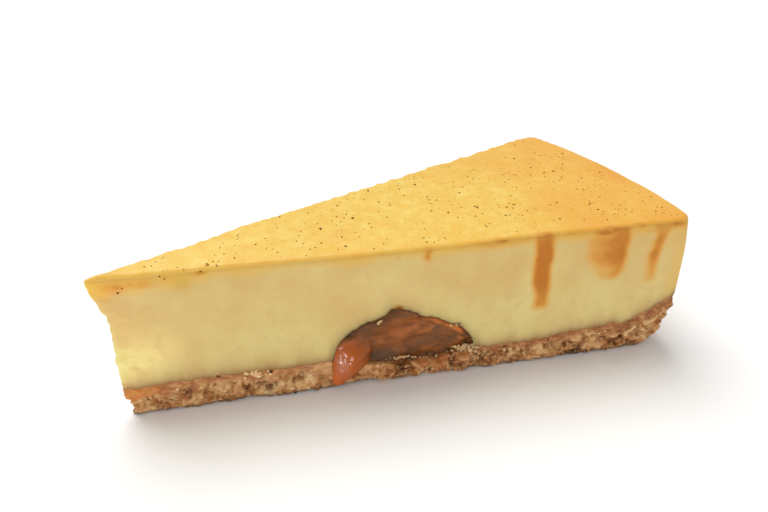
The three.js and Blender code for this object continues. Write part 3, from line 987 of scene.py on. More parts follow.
@dataclass(frozen=True)
class GoldenGlaze:
    """Thin golden glaze over the baked skin: satin, with fine vanilla in it."""

    name: str = "golden_vanilla_glaze"
    yellow: str = "#edc14f"
    pale: str = "#f1cf66"
    orange: str = "#eaa233"
    vanilla: str = "#8a5a22"

    def build(self) -> bpy.types.Material:
        """Yellow with orange clouds towards the rim; the cuts' own colour below the edge.

        Returns:
            The material.
        """
        nodes = Nodes(self.name)
        place = nodes.add("TexCoord", {}, "Object")
        # Orange clouds give the eye a glaze of uneven depth over a browned skin
        rimward = nodes.add("Attribute", {"attribute_name": "rimward"}, "Fac")
        clouds = nodes.add("TexNoise", {"Scale": per_metre(20), "Detail": 5.0, "Vector": place})
        warm = nodes.add("Math", {"operation": "MULTIPLY_ADD", 0: clouds, 1: 1.6, 2: -0.8})
        warm = nodes.add("Math", {"operation": "ADD", "use_clamp": True, 0: warm, 1: rimward})
        skin = nodes.add("TexNoise", {"Scale": per_metre(2.6), "Detail": 6.0, "Vector": place})
        lighter = nodes.add("MapRange", {0: skin, 1: 0.42, 2: 0.68})
        yellows = {6: linear(self.yellow), 7: linear(self.pale)}
        yellow = nodes.add("Mix", {**BLEND, 0: lighter, **yellows}, BLENDED)
        top = nodes.add("Mix", {**BLEND, 0: warm, 6: yellow, 7: linear(self.orange)}, BLENDED)
        # Vanilla too fine to be a speck of its own is drawn as dots of 0.3 mm, coarser than it
        # is, in patches, which give the top its peppered look
        dots = nodes.add("TexVoronoi", {"Scale": per_metre(1.2), "Vector": place}, "Distance")
        dot = nodes.add("MapRange", {0: dots, 1: 0.2, 2: 0.08, 3: 0.0, 4: 0.55})
        patchy = nodes.add("TexNoise", {"Scale": per_metre(5), "Detail": 2.0, "Vector": place})
        few = nodes.add("MapRange", {0: patchy, 1: 0.45, 2: 0.6})
        vanilla = nodes.add("Math", {"operation": "MULTIPLY", 0: dot, 1: few})
        top = nodes.add("Mix", {**BLEND, 0: vanilla, 6: top, 7: linear(self.vanilla)}, BLENDED)
        side = CreamFilling().colour(nodes, place)
        turned = nodes.add("Attribute", {"attribute_name": "turned"}, "Fac")
        colour = nodes.add("Mix", {**BLEND, 0: turned, 6: top, 7: side}, BLENDED)
        # The coat is thin and blurred: the glaze has set, and has a sheen without reflections
        fine = nodes.add("TexNoise", {"Scale": per_metre(0.7), "Detail": 4.0, "Vector": place})
        relief = {"Strength": 0.4, "Distance": 0.06 * MM, "Height": fine}
        return nodes.dress(
            {
                "Normal": nodes.add("Bump", relief),
                "Base Color": colour,
                "Roughness": 0.5,
                "Specular IOR Level": 0.35,
                "Coat Weight": 0.1,
                "Coat Roughness": 0.25,
            }
        )


@dataclass(frozen=True)
class PressedBiscuit:
    """Pressed biscuit crumb: dry and matt, every crumb its own brown, dark in the hollows.

    tones go from the darkest crumb to the palest. crumb_size is a crumb's width and ragged how
    far its edges are bent out of line, both in millimetres. hollow is painted shade in pits and
    recesses, foot a painted line of shade along the floor, and crumbs that stand out are painted
    paler, as if lit.
    """

    name: str = "pressed_biscuit_crumb"
    tones: tuple[str, ...] = ("#5a381a", "#b07947", "#dca970", "#efc990", "#f9e1b0")
    dense_dark: str = "#925835"
    dense: str = "#b67548"
    dense_light: str = "#daa56c"
    amber: str = "#be7440"
    orange: str = "#e08c3c"
    soaked: str = "#ba6a30"
    hollow: str = "#2f1c0c"
    foot: str = "#6b5a46"
    crumb_size: float = 1.4
    ragged: float = 1.4

    def build(self) -> bpy.types.Material:
        """Crumb tones by cell, a dense reddish band, caramel-soaked lumps, pits, a grey foot.

        Returns:
            The material.
        """
        nodes = Nodes(self.name)
        place = nodes.add("TexCoord", {}, "Object")
        # Cells with bent edges give each crumb a tone of its own, and three sizes of noise
        # give the eye crumbs that are broken and not cut
        edges = {"Scale": per_metre(1.0), "Detail": 4.0, "Vector": place}
        warp = nodes.add("TexNoise", edges, "Color")
        bend = (self.ragged * MM,) * 3
        bent = nodes.add("VectorMath", {"operation": "MULTIPLY_ADD", 0: warp, 1: bend, 2: place})
        crumbs = {"Scale": per_metre(self.crumb_size), "Vector": bent}
        cells = nodes.add("TexVoronoi", crumbs, "Color")
        tone = nodes.add("SeparateColor", {"Color": cells})
        own = nodes.add("Attribute", {"attribute_name": "tone"}, "Fac")
        fine = nodes.add("TexNoise", {"Scale": per_metre(0.9), "Detail": 6.0, "Vector": place})
        broad = nodes.add("TexNoise", {"Scale": per_metre(5.0), "Detail": 3.0, "Vector": place})
        middle = nodes.add("TexNoise", {"Scale": per_metre(2.4), "Detail": 4.0, "Vector": bent})
        shade = nodes.add("Math", {"operation": "MULTIPLY_ADD", 0: tone, 1: 0.3, 2: -1.15})
        for grain, weight in ((fine, 0.85), (middle, 1.35), (broad, 0.7)):
            shade = nodes.add("Math", {"operation": "MULTIPLY_ADD", 0: grain, 1: weight, 2: shade})
        # The tone value is paler where the side stands out: painted light
        shade = nodes.add("Math", {"operation": "ADD", "use_clamp": True, 0: shade, 1: own})
        steps = [(i / (len(self.tones) - 1), code) for i, code in enumerate(self.tones)]
        colour = nodes.add("ValToRGB", {"stops": steps, "Fac": shade})
        # Amber patches are where the butter has browned the crumb
        warm = nodes.add("TexNoise", {"Scale": per_metre(2.8), "Detail": 3.0, "Vector": bent})
        buttery = nodes.add("MapRange", {0: warm, 1: 0.5, 2: 0.66, 3: 0.0, 4: 0.65})
        colour = nodes.add("Mix", {**BLEND, 0: buttery, 6: colour, 7: linear(self.amber)}, BLENDED)
        # The dense band is pressed flat, so its mottling is drawn out along the base
        flat = nodes.add("Mapping", {"Scale": (0.8, 0.8, 1.5), "Vector": place})
        layers = nodes.add("TexNoise", {"Scale": per_metre(1.3), "Detail": 7.0, "Vector": flat})
        mottled = nodes.add("Math", {"operation": "MULTIPLY_ADD", 0: layers, 1: 2.2, 2: -0.6})
        paler = nodes.add("Math", {"operation": "ADD", 0: mottled, 1: own})
        bands = [(0.1, self.dense_dark), (0.5, self.dense), (0.9, self.dense_light)]
        dense = nodes.add("ValToRGB", {"stops": bands, "Fac": paler})
        band = nodes.add("Attribute", {"attribute_name": "band"}, "Fac")
        colour = nodes.add("Mix", {**BLEND, 0: band, 6: colour, 7: dense}, BLENDED)
        colour = nodes.tinted(colour, {"tipward": self.orange})
        soaked = nodes.add("Attribute", {"attribute_name": "soaked"}, "Fac")
        wet = nodes.add("Math", {"operation": "MULTIPLY", 0: soaked, 1: broad})
        colour = nodes.add("Mix", {**BLEND, 0: wet, 6: colour, 7: linear(self.soaked)}, BLENDED)
        # The hollow tint is painted shade in pits and recesses, the foot tint a painted line of
        # shade
        colour = nodes.tinted(colour, {"hollow": self.hollow, "foot": self.foot})
        relief = {"Strength": 0.8, "Distance": 0.2 * MM, "Height": fine}
        return nodes.dress(
            {
                "Normal": nodes.add("Bump", relief),
                "Base Color": colour,
                "Roughness": 0.82,
                "Specular IOR Level": 0.3,
            }
        )


@dataclass(frozen=True)
class SoftCaramel:
    """Soft set caramel: brown, wet on the surface, orange where it is thin or has run."""

    name: str = "soft_caramel"
    dark: str = "#4b3419"
    brown: str = "#9c5c2c"
    grey: str = "#5a4833"
    orange: str = "#dc7c38"
    shade: str = "#453015"
    flow: str = "#bf5e18"
    thin_flow: str = "#e07430"

    def build(self) -> bpy.types.Material:
        """Browns streaked along the swirl, greyish and orange by value, glossy where it ran.

        Returns:
            The material.
        """
        nodes = Nodes(self.name)
        place = nodes.add("TexCoord", {}, "Object")
        # Streaks on a slant show how the caramel was folded in and then sank
        slant = {"Rotation": (0.0, 0.45, 0.0), "Scale": (0.6, 1.0, 1.3), "Vector": place}
        streaks = {"Scale": per_metre(4.6), "Detail": 3.0, "Distortion": 1.4}
        swirl = nodes.add("TexNoise", {**streaks, "Vector": nodes.add("Mapping", slant)})
        browns = [(0.34, self.dark), (0.64, self.brown)]
        colour = nodes.add("ValToRGB", {"stops": browns, "Fac": swirl})
        warm = nodes.add("Attribute", {"attribute_name": "warm"}, "Fac")
        uneven = nodes.add("Math", {"operation": "MULTIPLY_ADD", 0: swirl, 1: 1.4, 2: -0.7})
        shift = nodes.add("Math", {"operation": "MULTIPLY_ADD", 0: uneven, 1: warm, 2: warm})
        streak = nodes.add("MapRange", {**SMOOTH, 0: shift, 1: 0.1, 2: 0.85})
        colour = nodes.add("Mix", {**BLEND, 0: streak, 6: colour, 7: linear(self.orange)}, BLENDED)
        # The under tint paints the shadow of the filling over the pocket, in the shade colour
        tints = {"grey": self.grey, "under": self.shade, "run": self.flow, "thin": self.thin_flow}
        colour = nodes.tinted(colour, tints)
        fine = nodes.add("TexNoise", {"Scale": per_metre(1.8), "Detail": 3.0, "Vector": place})
        # The coat bends light strongly and is nearly smooth, for the glints of wet sugar, and
        # it is thick only where the caramel has run
        relief = {"Strength": 0.5, "Distance": 0.25 * MM, "Height": fine}
        run = nodes.add("Attribute", {"attribute_name": "run"}, "Fac")
        return nodes.dress(
            {
                "Normal": nodes.add("Bump", relief),
                "Base Color": colour,
                "Roughness": nodes.add("MapRange", {0: run, 1: 0.0, 2: 1.0, 3: 0.5, 4: 0.35}),
                "Specular IOR Level": 0.12,
                "Coat Weight": nodes.add("Attribute", {"attribute_name": "wet"}, "Fac"),
                "Coat Roughness": 0.12,
                "Coat IOR": 2.0,
            }
        )


@dataclass(frozen=True)
class PlainMatter:
    """A small thing of one substance: its colour varies from piece to piece by its tone."""

    name: str
    dark: str
    light: str
    roughness: float

    def build(self) -> bpy.types.Material:
        """From dark to light by the tone of each piece, mottled by a fine grain.

        Returns:
            The material.
        """
        nodes = Nodes(self.name)
        place = nodes.add("TexCoord", {}, "Object")
        tone = nodes.add("Attribute", {"attribute_name": "tone"}, "Fac")
        # A grain of 0.4 mm, about as wide as the pieces, keeps each from being one flat colour
        grain = nodes.add("TexNoise", {"Scale": per_metre(0.4), "Detail": 2.0, "Vector": place})
        shade = nodes.add("Math", {"operation": "MULTIPLY_ADD", 0: grain, 1: 0.5, 2: tone})
        tones = [(0.25, self.dark), (1.0, self.light)]
        return nodes.dress(
            {
                "Base Color": nodes.add("ValToRGB", {"stops": tones, "Fac": shade}),
                "Roughness": self.roughness,
                "Specular IOR Level": 0.1,
            }
        )


@dataclass
class BiscuitBase:
    """The pressed biscuit under the filling, with its broken sides.

    boulders are the wet lumps under the caramel, which stand out of the front cut by their
    strength in millimetres, and holes are the deep gaps, which go in by theirs.
    """

    columns: Columns = field(
        default_factory=lambda: Columns.spread(np.arange(560) / 560, 10, 110, 8)
    )
    rows: int = 36
    boulders: tuple[Patch, ...] = (
        Patch(64.6, 3.8, 2.2, 1.8, 0.0, 1.1),
        Patch(69.4, 3.4, 2.1, 1.9, 0.1, 0.9),
        Patch(74.8, 4.3, 2.2, 2.4, 0.0, 1.1),
        Patch(56.6, 2.6, 1.8, 1.6, 0.0, 0.5),
    )
    holes: tuple[Patch, ...] = (
        Patch(60.2, 3.4, 1.8, 1.3, 0.0, 2.6),
        Patch(61.4, 1.8, 1.3, 1.1, 0.0, 2.2),
        Patch(57.6, 1.2, 2.0, 0.7, 0.0, 0.8),
        Patch(72.0, 3.0, 0.5, 1.6, 0.0, 1.6),
        Patch(78.4, 2.6, 0.8, 1.6, 0.3, 2.0),
        Patch(66.9, 3.8, 0.4, 1.5, 0.2, 0.7),
        Patch(29.5, 3.6, 2.6, 0.45, 0.05, 1.0),
        Patch(31.5, 1.6, 1.2, 0.8, 0.1, 1.0),
        Patch(100.5, 3.2, 0.9, 0.7, 0.2, 1.2),
        Patch(105.0, 4.4, 2.0, 0.35, 0.1, 0.8),
        Patch(116.8, 6.2, 0.7, 0.6, 0.3, 1.2),
    )

    def top(self, x: Array, y: Array) -> Array:
        """Height of its top: the seam with the filling, or the caramel's bed inside the arch.

        Args:
            x: Place on the plan, from tip to rim.
            y: Place across it.

        Returns:
            The height there.
        """
        r, side = PLAN.polar(x, y)
        inside = ARCH.within(r, side)
        return PLAN.seam(x, y) * (1.0 - inside) + ARCH.bottom(r) * inside

    def soaked(self, r: Array, y: Array) -> Array:
        """1 under the front cut's caramel, where the base is broken into wet lumps."""
        return ramp(r, 53.0, 56.0) * (1.0 - ramp(r, 76.0, 79.0)) * (y < 0)

    def density(self, r: Array, y: Array, share: Array) -> Array:
        """1 in the dense band along its top, broken under the caramel and thinner after it.

        Args:
            r: Distance from the cake's centre.
            y: Place across the slice, below 0 towards the front cut.
            share: Share of the way up the side.

        Returns:
            The density, 0 to 1.
        """
        lower = 0.48 + 0.15 * smooth_noise(r / 5, 3, 3) + 0.14 * smooth_noise(r / 1.3, 4, 2)
        lower = lower + 0.16 * ramp(r, 92.0, 100.0)
        return ramp(share, lower, lower + 0.2) * (1.0 - 0.9 * self.soaked(r, y))

    def relief(self, x: Array, y: Array, z: Array, share: Array) -> Array:
        """How far its side stands out: lumps, crumbs and grains in three sizes, less pits.

        Each size is a constant less the distance to the nearest crumb; pits open where a slow
        noise is high, a ragged ridge over a groove runs above the middle near the rim, and all
        of it is gentler in the dense band and turns into the cut's own relief at the top edge.

        Args:
            x: Place on the plan, from tip to rim.
            y: Place across it.
            z: Height.
            share: Share of the way up the side.

        Returns:
            The relief along the outward normal.
        """
        r = np.hypot(x, y)
        wet = self.soaked(r, y)
        lumps = 1.9 * (0.55 - crumb_distance(x / 3.4, y / 3.4, z / 2.7))
        lumps += 0.7 * smooth_noise(x / 9, y / 9, z / 4)
        crumbs = 0.8 * (0.5 - crumb_distance(x / 1.9, y / 1.9, z / 1.5))
        grains = 0.26 * (0.5 - crumb_distance(x / 0.7, y / 0.7, z / 0.6))
        grains += 0.12 * smooth_noise(x / 0.35, y / 0.35, z / 0.35)
        hollow = smooth_noise(x / 1.9, y / 1.9, z / 1.2 + 9)
        hollow = ramp(hollow + 0.5 * smooth_noise(x / 0.6, y / 0.6, z / 0.5), 0.35, 0.9)
        hollow = np.maximum(hollow, 0.7 * ramp(smooth_noise(x / 0.9, y / 0.9, z / 0.7), 0.45, 0.8))
        line = 0.68 + 0.1 * smooth_noise(r / 3, 2, 2) + 0.03 * smooth_noise(r / 0.8, 5, 1)
        ridge = bell(share, line, 0.08) - 1.3 * bell(share, line - 0.17, 0.08)
        ridge = ridge * ramp(r, 94.0, 99.0)
        dense = self.density(r, y, share)
        layers = 0.05 * np.sin(z * 9.0 + 2.0 * smooth_noise(x / 8, y / 8, 4))
        rough = lumps * (0.75 + 0.3 * wet) + crumbs + grains - hollow * (0.7 + 0.5 * wet)
        calm = 0.3 * lumps + 0.25 * crumbs + 0.4 * grains - 0.3 * hollow + layers
        mixed = rough + (calm - rough) * dense + 0.45 * ridge - 0.15
        front = y < 0
        mixed = mixed + front * sum(patch.cover(r, z) for patch in self.boulders)
        mixed = mixed - front * sum(patch.cover(r, z) for patch in self.holes)
        reach = (1.0 - ramp(share, 0.9, 1.0)) * (0.35 + 0.65 * ramp(z, 0.0, 1.4))
        undercut = 1.1 * bell(r, 54.5, 5.0) * front * (1.0 - ramp(z, 0.4, 1.6))
        return mixed * reach + (0.03 + PLAN.cut_relief(x, y, z)) * (1.0 - reach) - undercut

    def build(self) -> Surface:
        """Loops up the broken sides, closed by a flat underside and the uneven top.

        Returns:
            The closed base, with the values that colour it.
        """
        share = np.concatenate([[0.0], np.linspace(0.03, 1.0, self.rows)])[:, None]
        guide_x, guide_y, *_ = PLAN.outline(self.columns, np.full(1, PLAN.base_height))
        z = share * self.top(guide_x, guide_y)
        x, y, nx, ny = PLAN.outline(self.columns, z)
        push = self.relief(x, y, z, share)
        r, side = PLAN.polar(x, y)
        # Nothing stands out through the caramel that has run over the base
        under_flow = bell(r, ARCH.flow_at, 4.0) * (y < 0)
        push = push - under_flow * np.maximum(push + 0.5, 0.0)
        # The foot is drawn in unevenly, so that the base casts a broken line of shade
        foot = 0.5 + 0.4 * smooth_noise(x / 4, y / 4, 2) + 0.25 * smooth_noise(x / 1.2, y / 1.2, 5)
        push = np.minimum(push, 1.1) - foot * (1.0 - ramp(share, 0.0, 0.1))
        rows = np.stack([x + push * nx, y + push * ny, z], axis=-1)
        dense = self.density(r, y, share)
        ridge = bell(share, 0.68 + 0.1 * smooth_noise(r / 3, 2, 2), 0.08) * ramp(r, 94.0, 99.0)
        lump = np.max([patch.cover(r, z) for patch in self.boulders], axis=0)
        # Painted shade and light: pits and recesses are darkened, and what stands out and the
        # ridge are painted paler, as if lit
        painted_pit_shade = ramp(smooth_noise(x / 1.7, y / 1.7, z / 1.3 + 20), 0.4, 0.75)
        deep = ramp(-push, 0.5, 1.4) * (1.0 - 0.5 * dense)
        tan = dense * (0.3 * bell(r, 46.0, 8.0) - 0.12 * ramp(r, 74.0, 84.0)) * (side < 0)
        tan = tan - 0.1 * (1.0 - dense) * ramp(r, 76.0, 90.0)
        values = {
            "band": dense * (0.85 - 0.6 * ridge),
            # hollow: painted shade in pits and recesses
            "hollow": np.maximum(0.6 * deep, 0.35 * painted_pit_shade * (1.0 - dense)),
            # foot: a painted line of shade along the bottom edge, where the base meets the floor
            "foot": 0.75 * (1.0 - ramp(z, 0.4, 1.1)),
            # tone: paler where the side stands out and on the ridge, a painted highlight
            "tone": 0.15 * ramp(push, 0.1, 0.8) + 0.1 * ridge - 0.1 * self.soaked(r, y) + tan,
            "soaked": self.soaked(r, y) * (0.5 + 0.8 * lump) * (0.7 + 0.3 * smooth_noise(x, y, z)),
            "tipward": 0.6 * (1.0 - ramp(r, 6.0, 13.0)) * dense,
        }
        return closed_shell(
            self.columns, rows, lambda x, y: 0.0 * x, self.top, lambda p: {}, values
        )


@dataclass
class Filling:
    """The set cream between biscuit and glaze, open where the caramel lies."""

    rows: int = 64

    def columns(self) -> Columns:
        """Places along the outline, close together where the arch starts steeply.

        Returns:
            The places.
        """
        even = np.arange(0.0, 1.0, 1.0 / 320)
        length = PLAN.radius - 2.0
        steep = (ARCH.crown_at - ARCH.inward + np.linspace(-1.2, 2.6, 30)) / length
        cut = np.unique(np.round(np.concatenate([even, steep]), 5))
        return Columns.spread(cut, 8, 44, 10)

    def floor(self, x: Array, y: Array) -> Array:
        """Height of its underside: the seam, or the arch over the caramel."""
        r, side = PLAN.polar(x, y)
        return np.where(ARCH.within(r, side) > 0.999, ARCH.top(r, side), PLAN.seam(x, y) - 0.05)

    def ceiling(self, x: Array, y: Array) -> Array:
        """Height of its top, under the glaze."""
        return PLAN.crown(x, y) - PLAN.glaze_thickness

    def build(self) -> Surface:
        """Loops up the two cuts and the rim, closed by the arched underside and the top.

        Its rows stand closer together towards the underside. The cut bends in above the arch
        as a soft lip, is torn in places and has small pits, and its skin swells by 0.12 mm
        where the glaze has run.

        Returns:
            The closed filling, with the values that colour the cuts.
        """
        columns = self.columns()
        guide_x, guide_y, *_ = PLAN.outline(columns, np.full(1, PLAN.base_height))
        low = self.floor(guide_x, guide_y)
        r, side = PLAN.polar(guide_x, guide_y)
        share = np.linspace(0.0, 1.0, self.rows)[:, None]
        share = share**1.15 * (1.0 + 0.25 * share**3 * (1.0 - share))
        z = low + share * (self.ceiling(guide_x, guide_y) - low)
        x, y, nx, ny = PLAN.outline(columns, z, PLAN.rounding(PLAN.crown(guide_x, guide_y) - z))
        lip = 0.45 * np.exp(-(z - low) / 0.5) * ARCH.within(r, side)
        pits = ramp(smooth_noise(x / 1.4, y / 1.4, z / 1.4), 0.72, 0.95)
        torn = 0.25 * smooth_noise(r / 2, z / 1.7, 4) + 0.15 * smooth_noise(r, z / 0.6, 9)
        below = PLAN.crown(guide_x, guide_y) - z
        torn = torn * (1.0 - ramp(r, 4.0, 10.0)) * ramp(share, 0.0, 0.1) * ramp(below, 0.6, 3.0)
        run = np.minimum(glaze_stain(r, below), 1.0) * (side < -0.5) * ramp(below, 0.6, 2.0)
        push = 0.02 + PLAN.cut_relief(x, y, z) - lip - 0.25 * pits + torn + 0.12 * run
        rows = np.stack([x + push * nx, y + push * ny, z], axis=-1)
        inner_x, inner_y, *_ = PLAN.outline(columns, z[0], 1.2)
        inner = np.stack([inner_x, inner_y, self.floor(inner_x, inner_y)], axis=-1)
        rows = np.concatenate([inner[None], rows])
        return closed_shell(columns, rows, self.floor, self.ceiling, face_values)


@dataclass
class CaramelRing:
    """The caramel between the cuts, sunk back behind them, with its run down the front.

    across and upright count the points of a face, and slices the sections between the faces,
    which reach to the share inside on both sides of the middle. behind is where the run's
    surface lies when it isn't to be seen, deeper than the pocket.
    """

    across: int = 180
    upright: int = 110
    slices: int = 16
    inside: float = 0.74
    behind: float = -2.6
    orange: tuple[Patch, ...] = (
        Patch(56.0, 9.3, 3.0, 0.9, 0.7, 0.2),
        Patch(62.5, 12.4, 4.8, 1.4, 0.28, 0.36),
        Patch(68.8, 13.2, 2.8, 0.9, -0.2, 0.78),
        Patch(72.3, 10.9, 2.2, 0.8, -0.75, 0.85),
        Patch(65.8, 11.2, 2.6, 0.8, 0.35, 0.6),
        Patch(74.0, 8.4, 1.6, 0.6, -0.4, 0.5),
        Patch(61.0, 9.6, 3.4, 0.7, 0.3, 0.2),
    )
    greyish: tuple[Patch, ...] = (
        Patch(65.8, 8.8, 4.2, 2.0, 0.1, 1.0),
        Patch(57.4, 6.4, 3.4, 1.3, 0.1, 0.9),
        Patch(68.4, 11.5, 1.5, 0.7, 0.0, 0.95),
        Patch(53.6, 12.4, 4.2, 2.0, 0.6, 0.6),
        Patch(60.0, 16.0, 2.4, 0.6, 0.1, 0.6),
        Patch(71.5, 8.2, 1.8, 0.8, 0.0, 0.6),
    )
    flow_centre: float = 49.7
    flow_width: float = 4.0
    flow_top: float = 12.4
    wrinkles: tuple[tuple[float, ...], ...] = (
        (47.3, 8.3, 0.7, 0.55, -0.15, -0.3),
        (47.0, 6.9, 0.5, 1.3, -0.2, -0.4),
        (46.9, 5.2, 0.45, 1.1, -0.2, -0.55),
        (46.3, 3.8, 0.45, 0.7, -0.2, -0.65),
        (48.9, 7.4, 0.8, 0.7, 0.15, -0.4),
    )

    def place(self, u: Array, v: Array, side: float) -> tuple[Array, Array]:
        """Distance r and height z at shares u across and v up the arch's section at side.

        u is spread by a cosine, so that points crowd where the arch starts steeply. At the
        front cut the section reaches down to the floor where the caramel has run out.

        Args:
            u: Share of the way from the inward to the outward end.
            v: Share of the way up from the bed to the arch.
            side: Share of the way from the front cut, -1, to the back cut, +1.

        Returns:
            r and z.
        """
        first, last = ARCH.centre(side) - ARCH.inward, ARCH.centre(side) + ARCH.outward
        if side == -1.0:
            first = first - 0.4
        r = first + (last - first) * (1.0 - np.cos(np.pi * u)) / 2.0
        bottom = ARCH.bottom(r) - 0.35
        if side == -1.0:
            spilled = 1.0 - ramp(r, 52.9, 53.9)
            bottom = bottom + (0.95 - bottom) * spilled
        return r, bottom + (ARCH.top(r, side) + 0.12 - bottom) * v

    def flow(self, r: Array, z: Array) -> Array:
        """How far the run stands out of the front cut: a tongue that bulges and narrows down.

        At share t of the way down its middle swings inwards by t cubed, its half width grows
        as a quarter circle and then shrinks, and it stands out most at its middle. Across, the
        left side is blunt and the right one falls off gently. Each wrinkle is given by r, z, its
        half sizes along both and its slopes along both, which fade as a Gaussian.

        Args:
            r: Distance from the cake's centre.
            z: Height.

        Returns:
            How far it stands out of the cut; behind the cut where it has not run.
        """
        t = np.clip((self.flow_top - z) / (self.flow_top - 0.9), 0.0, 1.0)
        head = np.sqrt(1.0 - np.clip(1.0 - 2.4 * t, 0.0, 1.0) ** 2)
        wide = 0.6 + self.flow_width * head - 2.3 * np.clip((t - 0.6) / 0.4, 0.0, 1.0) ** 2.2
        reach = -1.3 + 2.9 * ramp(t, 0.0, 0.5) - 1.4 * ramp(t, 0.6, 1.0)
        offset = np.clip((r - self.flow_centre + 2.9 * t**3) / wide, -1.0, 1.0)
        dome = np.sqrt(1.0 - np.abs(offset) ** (1.9 - 0.7 * np.sign(offset)))
        ripple = 0.18 * smooth_noise(r / 2.2, z / 2.8, 7) + 0.03 * smooth_noise(r / 0.8, z / 0.9, 9)
        for at_r, at_z, long, high, across, up in self.wrinkles:
            dr, dz = r - at_r, z - at_z
            fading = np.exp(-((dr / long) ** 2) - (dz / high) ** 2)
            ripple = ripple + (across * dr + up * dz) * fading
        bulge = self.behind + (-self.behind + reach + ripple) * dome
        return np.where(z < self.flow_top, bulge, self.behind)

    def pocket(self, r: Array, z: Array, u: Array, v: Array, side: float) -> Array:
        """How far the sunk face stands out, below 0: dished, with slanting folds.

        Args:
            r: Distance from the cake's centre.
            z: Height.
            u: Share of the way from the inward to the outward end.
            v: Share of the way up.
            side: Share of the way from the front cut, -1, to the back cut, +1.

        Returns:
            How far it stands out of the cut; less than 0 is sunk back.
        """
        spread = (1.0 - np.cos(np.pi * u)) / 2.0
        middle = np.sqrt(np.clip(16.0 * v * (1.0 - v) * spread * (1.0 - spread), 0.0, 1.0))
        warp = smooth_noise(r / 8, z / 8, side * 3)
        folds = smooth_noise((r + 3.0 * warp) / 6.5, (1.7 * z - 0.55 * r + 4.0 * warp) / 3.0, 5)
        fine = smooth_noise(r / 2.4, (1.5 * z - 0.4 * r) / 1.5, 11)
        return -0.5 - 1.6 * middle**0.8 + (0.5 * folds + 0.12 * fine) * middle**0.5

    def face(self, side: float) -> tuple[Array, dict[str, Array]]:
        """The face at one cut, as a grid of points, with how warm and how run it is.

        Args:
            side: The cut, -1 for the front one and +1 for the back one.

        Returns:
            The points, and the named values that colour them.
        """
        u = np.linspace(0.0, 1.0, self.across)[None, :]
        v = np.linspace(0.0, 1.0, self.upright)[:, None]
        r, z = self.place(u, v, side)
        r = np.broadcast_to(r, z.shape)
        push = self.pocket(r, z, u, v, side)
        run = np.zeros(z.shape)
        thin = np.zeros(z.shape)
        if side == -1.0:
            flow = self.flow(r, z)
            # Below the pocket's bed there is nothing but the run
            outside = ramp(-(z - ARCH.bottom(r)), 0.0, 0.6)
            push = push + (self.behind - push) * outside
            # Run and pocket melt into one another over a way of melt millimetres
            melt = 0.7 + 1.5 * np.maximum(ramp(r, 48.5, 52.0), ramp(z, 9.0, 12.0))
            gap = np.clip(0.5 + 0.5 * (flow - push) / melt, 0.0, 1.0)
            push = push + (flow - push) * gap + melt * gap * (1.0 - gap)
            # The run keeps the pocket's colour where it leaves it, and is pale at its thin edge
            blend = 1.0 - 0.8 * Patch(53.3, 5.0, 2.4, 5.0).cover(r, z)
            blend = blend * (1.0 - 0.8 * Patch(49.0, 12.8, 4.5, 2.3, -0.4).cover(r, z))
            run = ramp(gap, 0.1, 1.0) * blend
            thin = 0.8 * Patch(45.9, 2.4, 0.9, 2.2).cover(r, z)
        # Patches of colour are looked up at a place bent by noise, so that none is an oval
        bend_r = r + 0.9 * smooth_noise(r / 2.5, z / 2.5, 3)
        bend_z = z + 0.8 * smooth_noise(r / 3.0, z / 2.2, 8)
        warm = np.max([patch.cover(bend_r, bend_z) for patch in self.orange], axis=0)
        grey = np.max([patch.cover(bend_r, bend_z) for patch in self.greyish], axis=0)
        # Painted shadow: the filling over the pocket keeps the light from its upper part, which is
        # darkened
        shadow = 0.95 - 0.5 * ramp(r, 56.0, 66.0)
        under = shadow * ramp(ARCH.top(r, side) - z, 3.6 - 2.0 * ramp(r, 55.0, 62.0), 0.4)
        wet = np.maximum(0.1 + 0.1 * run, Patch(47.2, 6.2, 1.7, 3.4).cover(r, z) * run)
        values = {"warm": warm, "grey": grey, "under": under * (1.0 - run)}
        values.update({"run": run, "thin": thin, "wet": wet})
        return PLAN.on_cut(r, z, side, push), values

    def build(self) -> Surface:
        """Both faces and the band round the ring between them, as one closed surface.

        Returns:
            The closed caramel, with the values that colour it.
        """
        front, front_values = self.face(-1.0)
        back, back_values = self.face(1.0)
        rows, count = front.shape[:2]
        index = np.arange(rows * count).reshape(rows, count)
        edge = np.concatenate([index[0, :-1], index[:-1, -1], index[-1, :0:-1], index[:0:-1, 0]])
        u = np.broadcast_to(np.linspace(0.0, 1.0, count)[None, :], index.shape).ravel()[edge]
        v = np.broadcast_to(np.linspace(0.0, 1.0, rows)[:, None], index.shape).ravel()[edge]
        sides = np.linspace(-self.inside, self.inside, self.slices).tolist()
        between = np.stack([PLAN.on_cut(*self.place(u, v, side), side) for side in sides])
        total = rows * count
        ring = 2 * total + np.arange(self.slices * len(edge)).reshape(self.slices, len(edge))
        band = np.vstack([edge, ring, edge + total])
        band = np.hstack([band, band[:, :1]])
        face = grid_faces(index)
        quads = np.vstack([face, face[:, ::-1] + total, grid_faces(band)[:, ::-1]])
        points = np.vstack([front.reshape(-1, 3), back.reshape(-1, 3), between.reshape(-1, 3)])
        values = {
            key: np.concatenate([numbers.ravel(), back_values[key].ravel(), np.zeros(ring.size)])
            for key, numbers in front_values.items()
        }
        return Surface(points, quads, values=values)


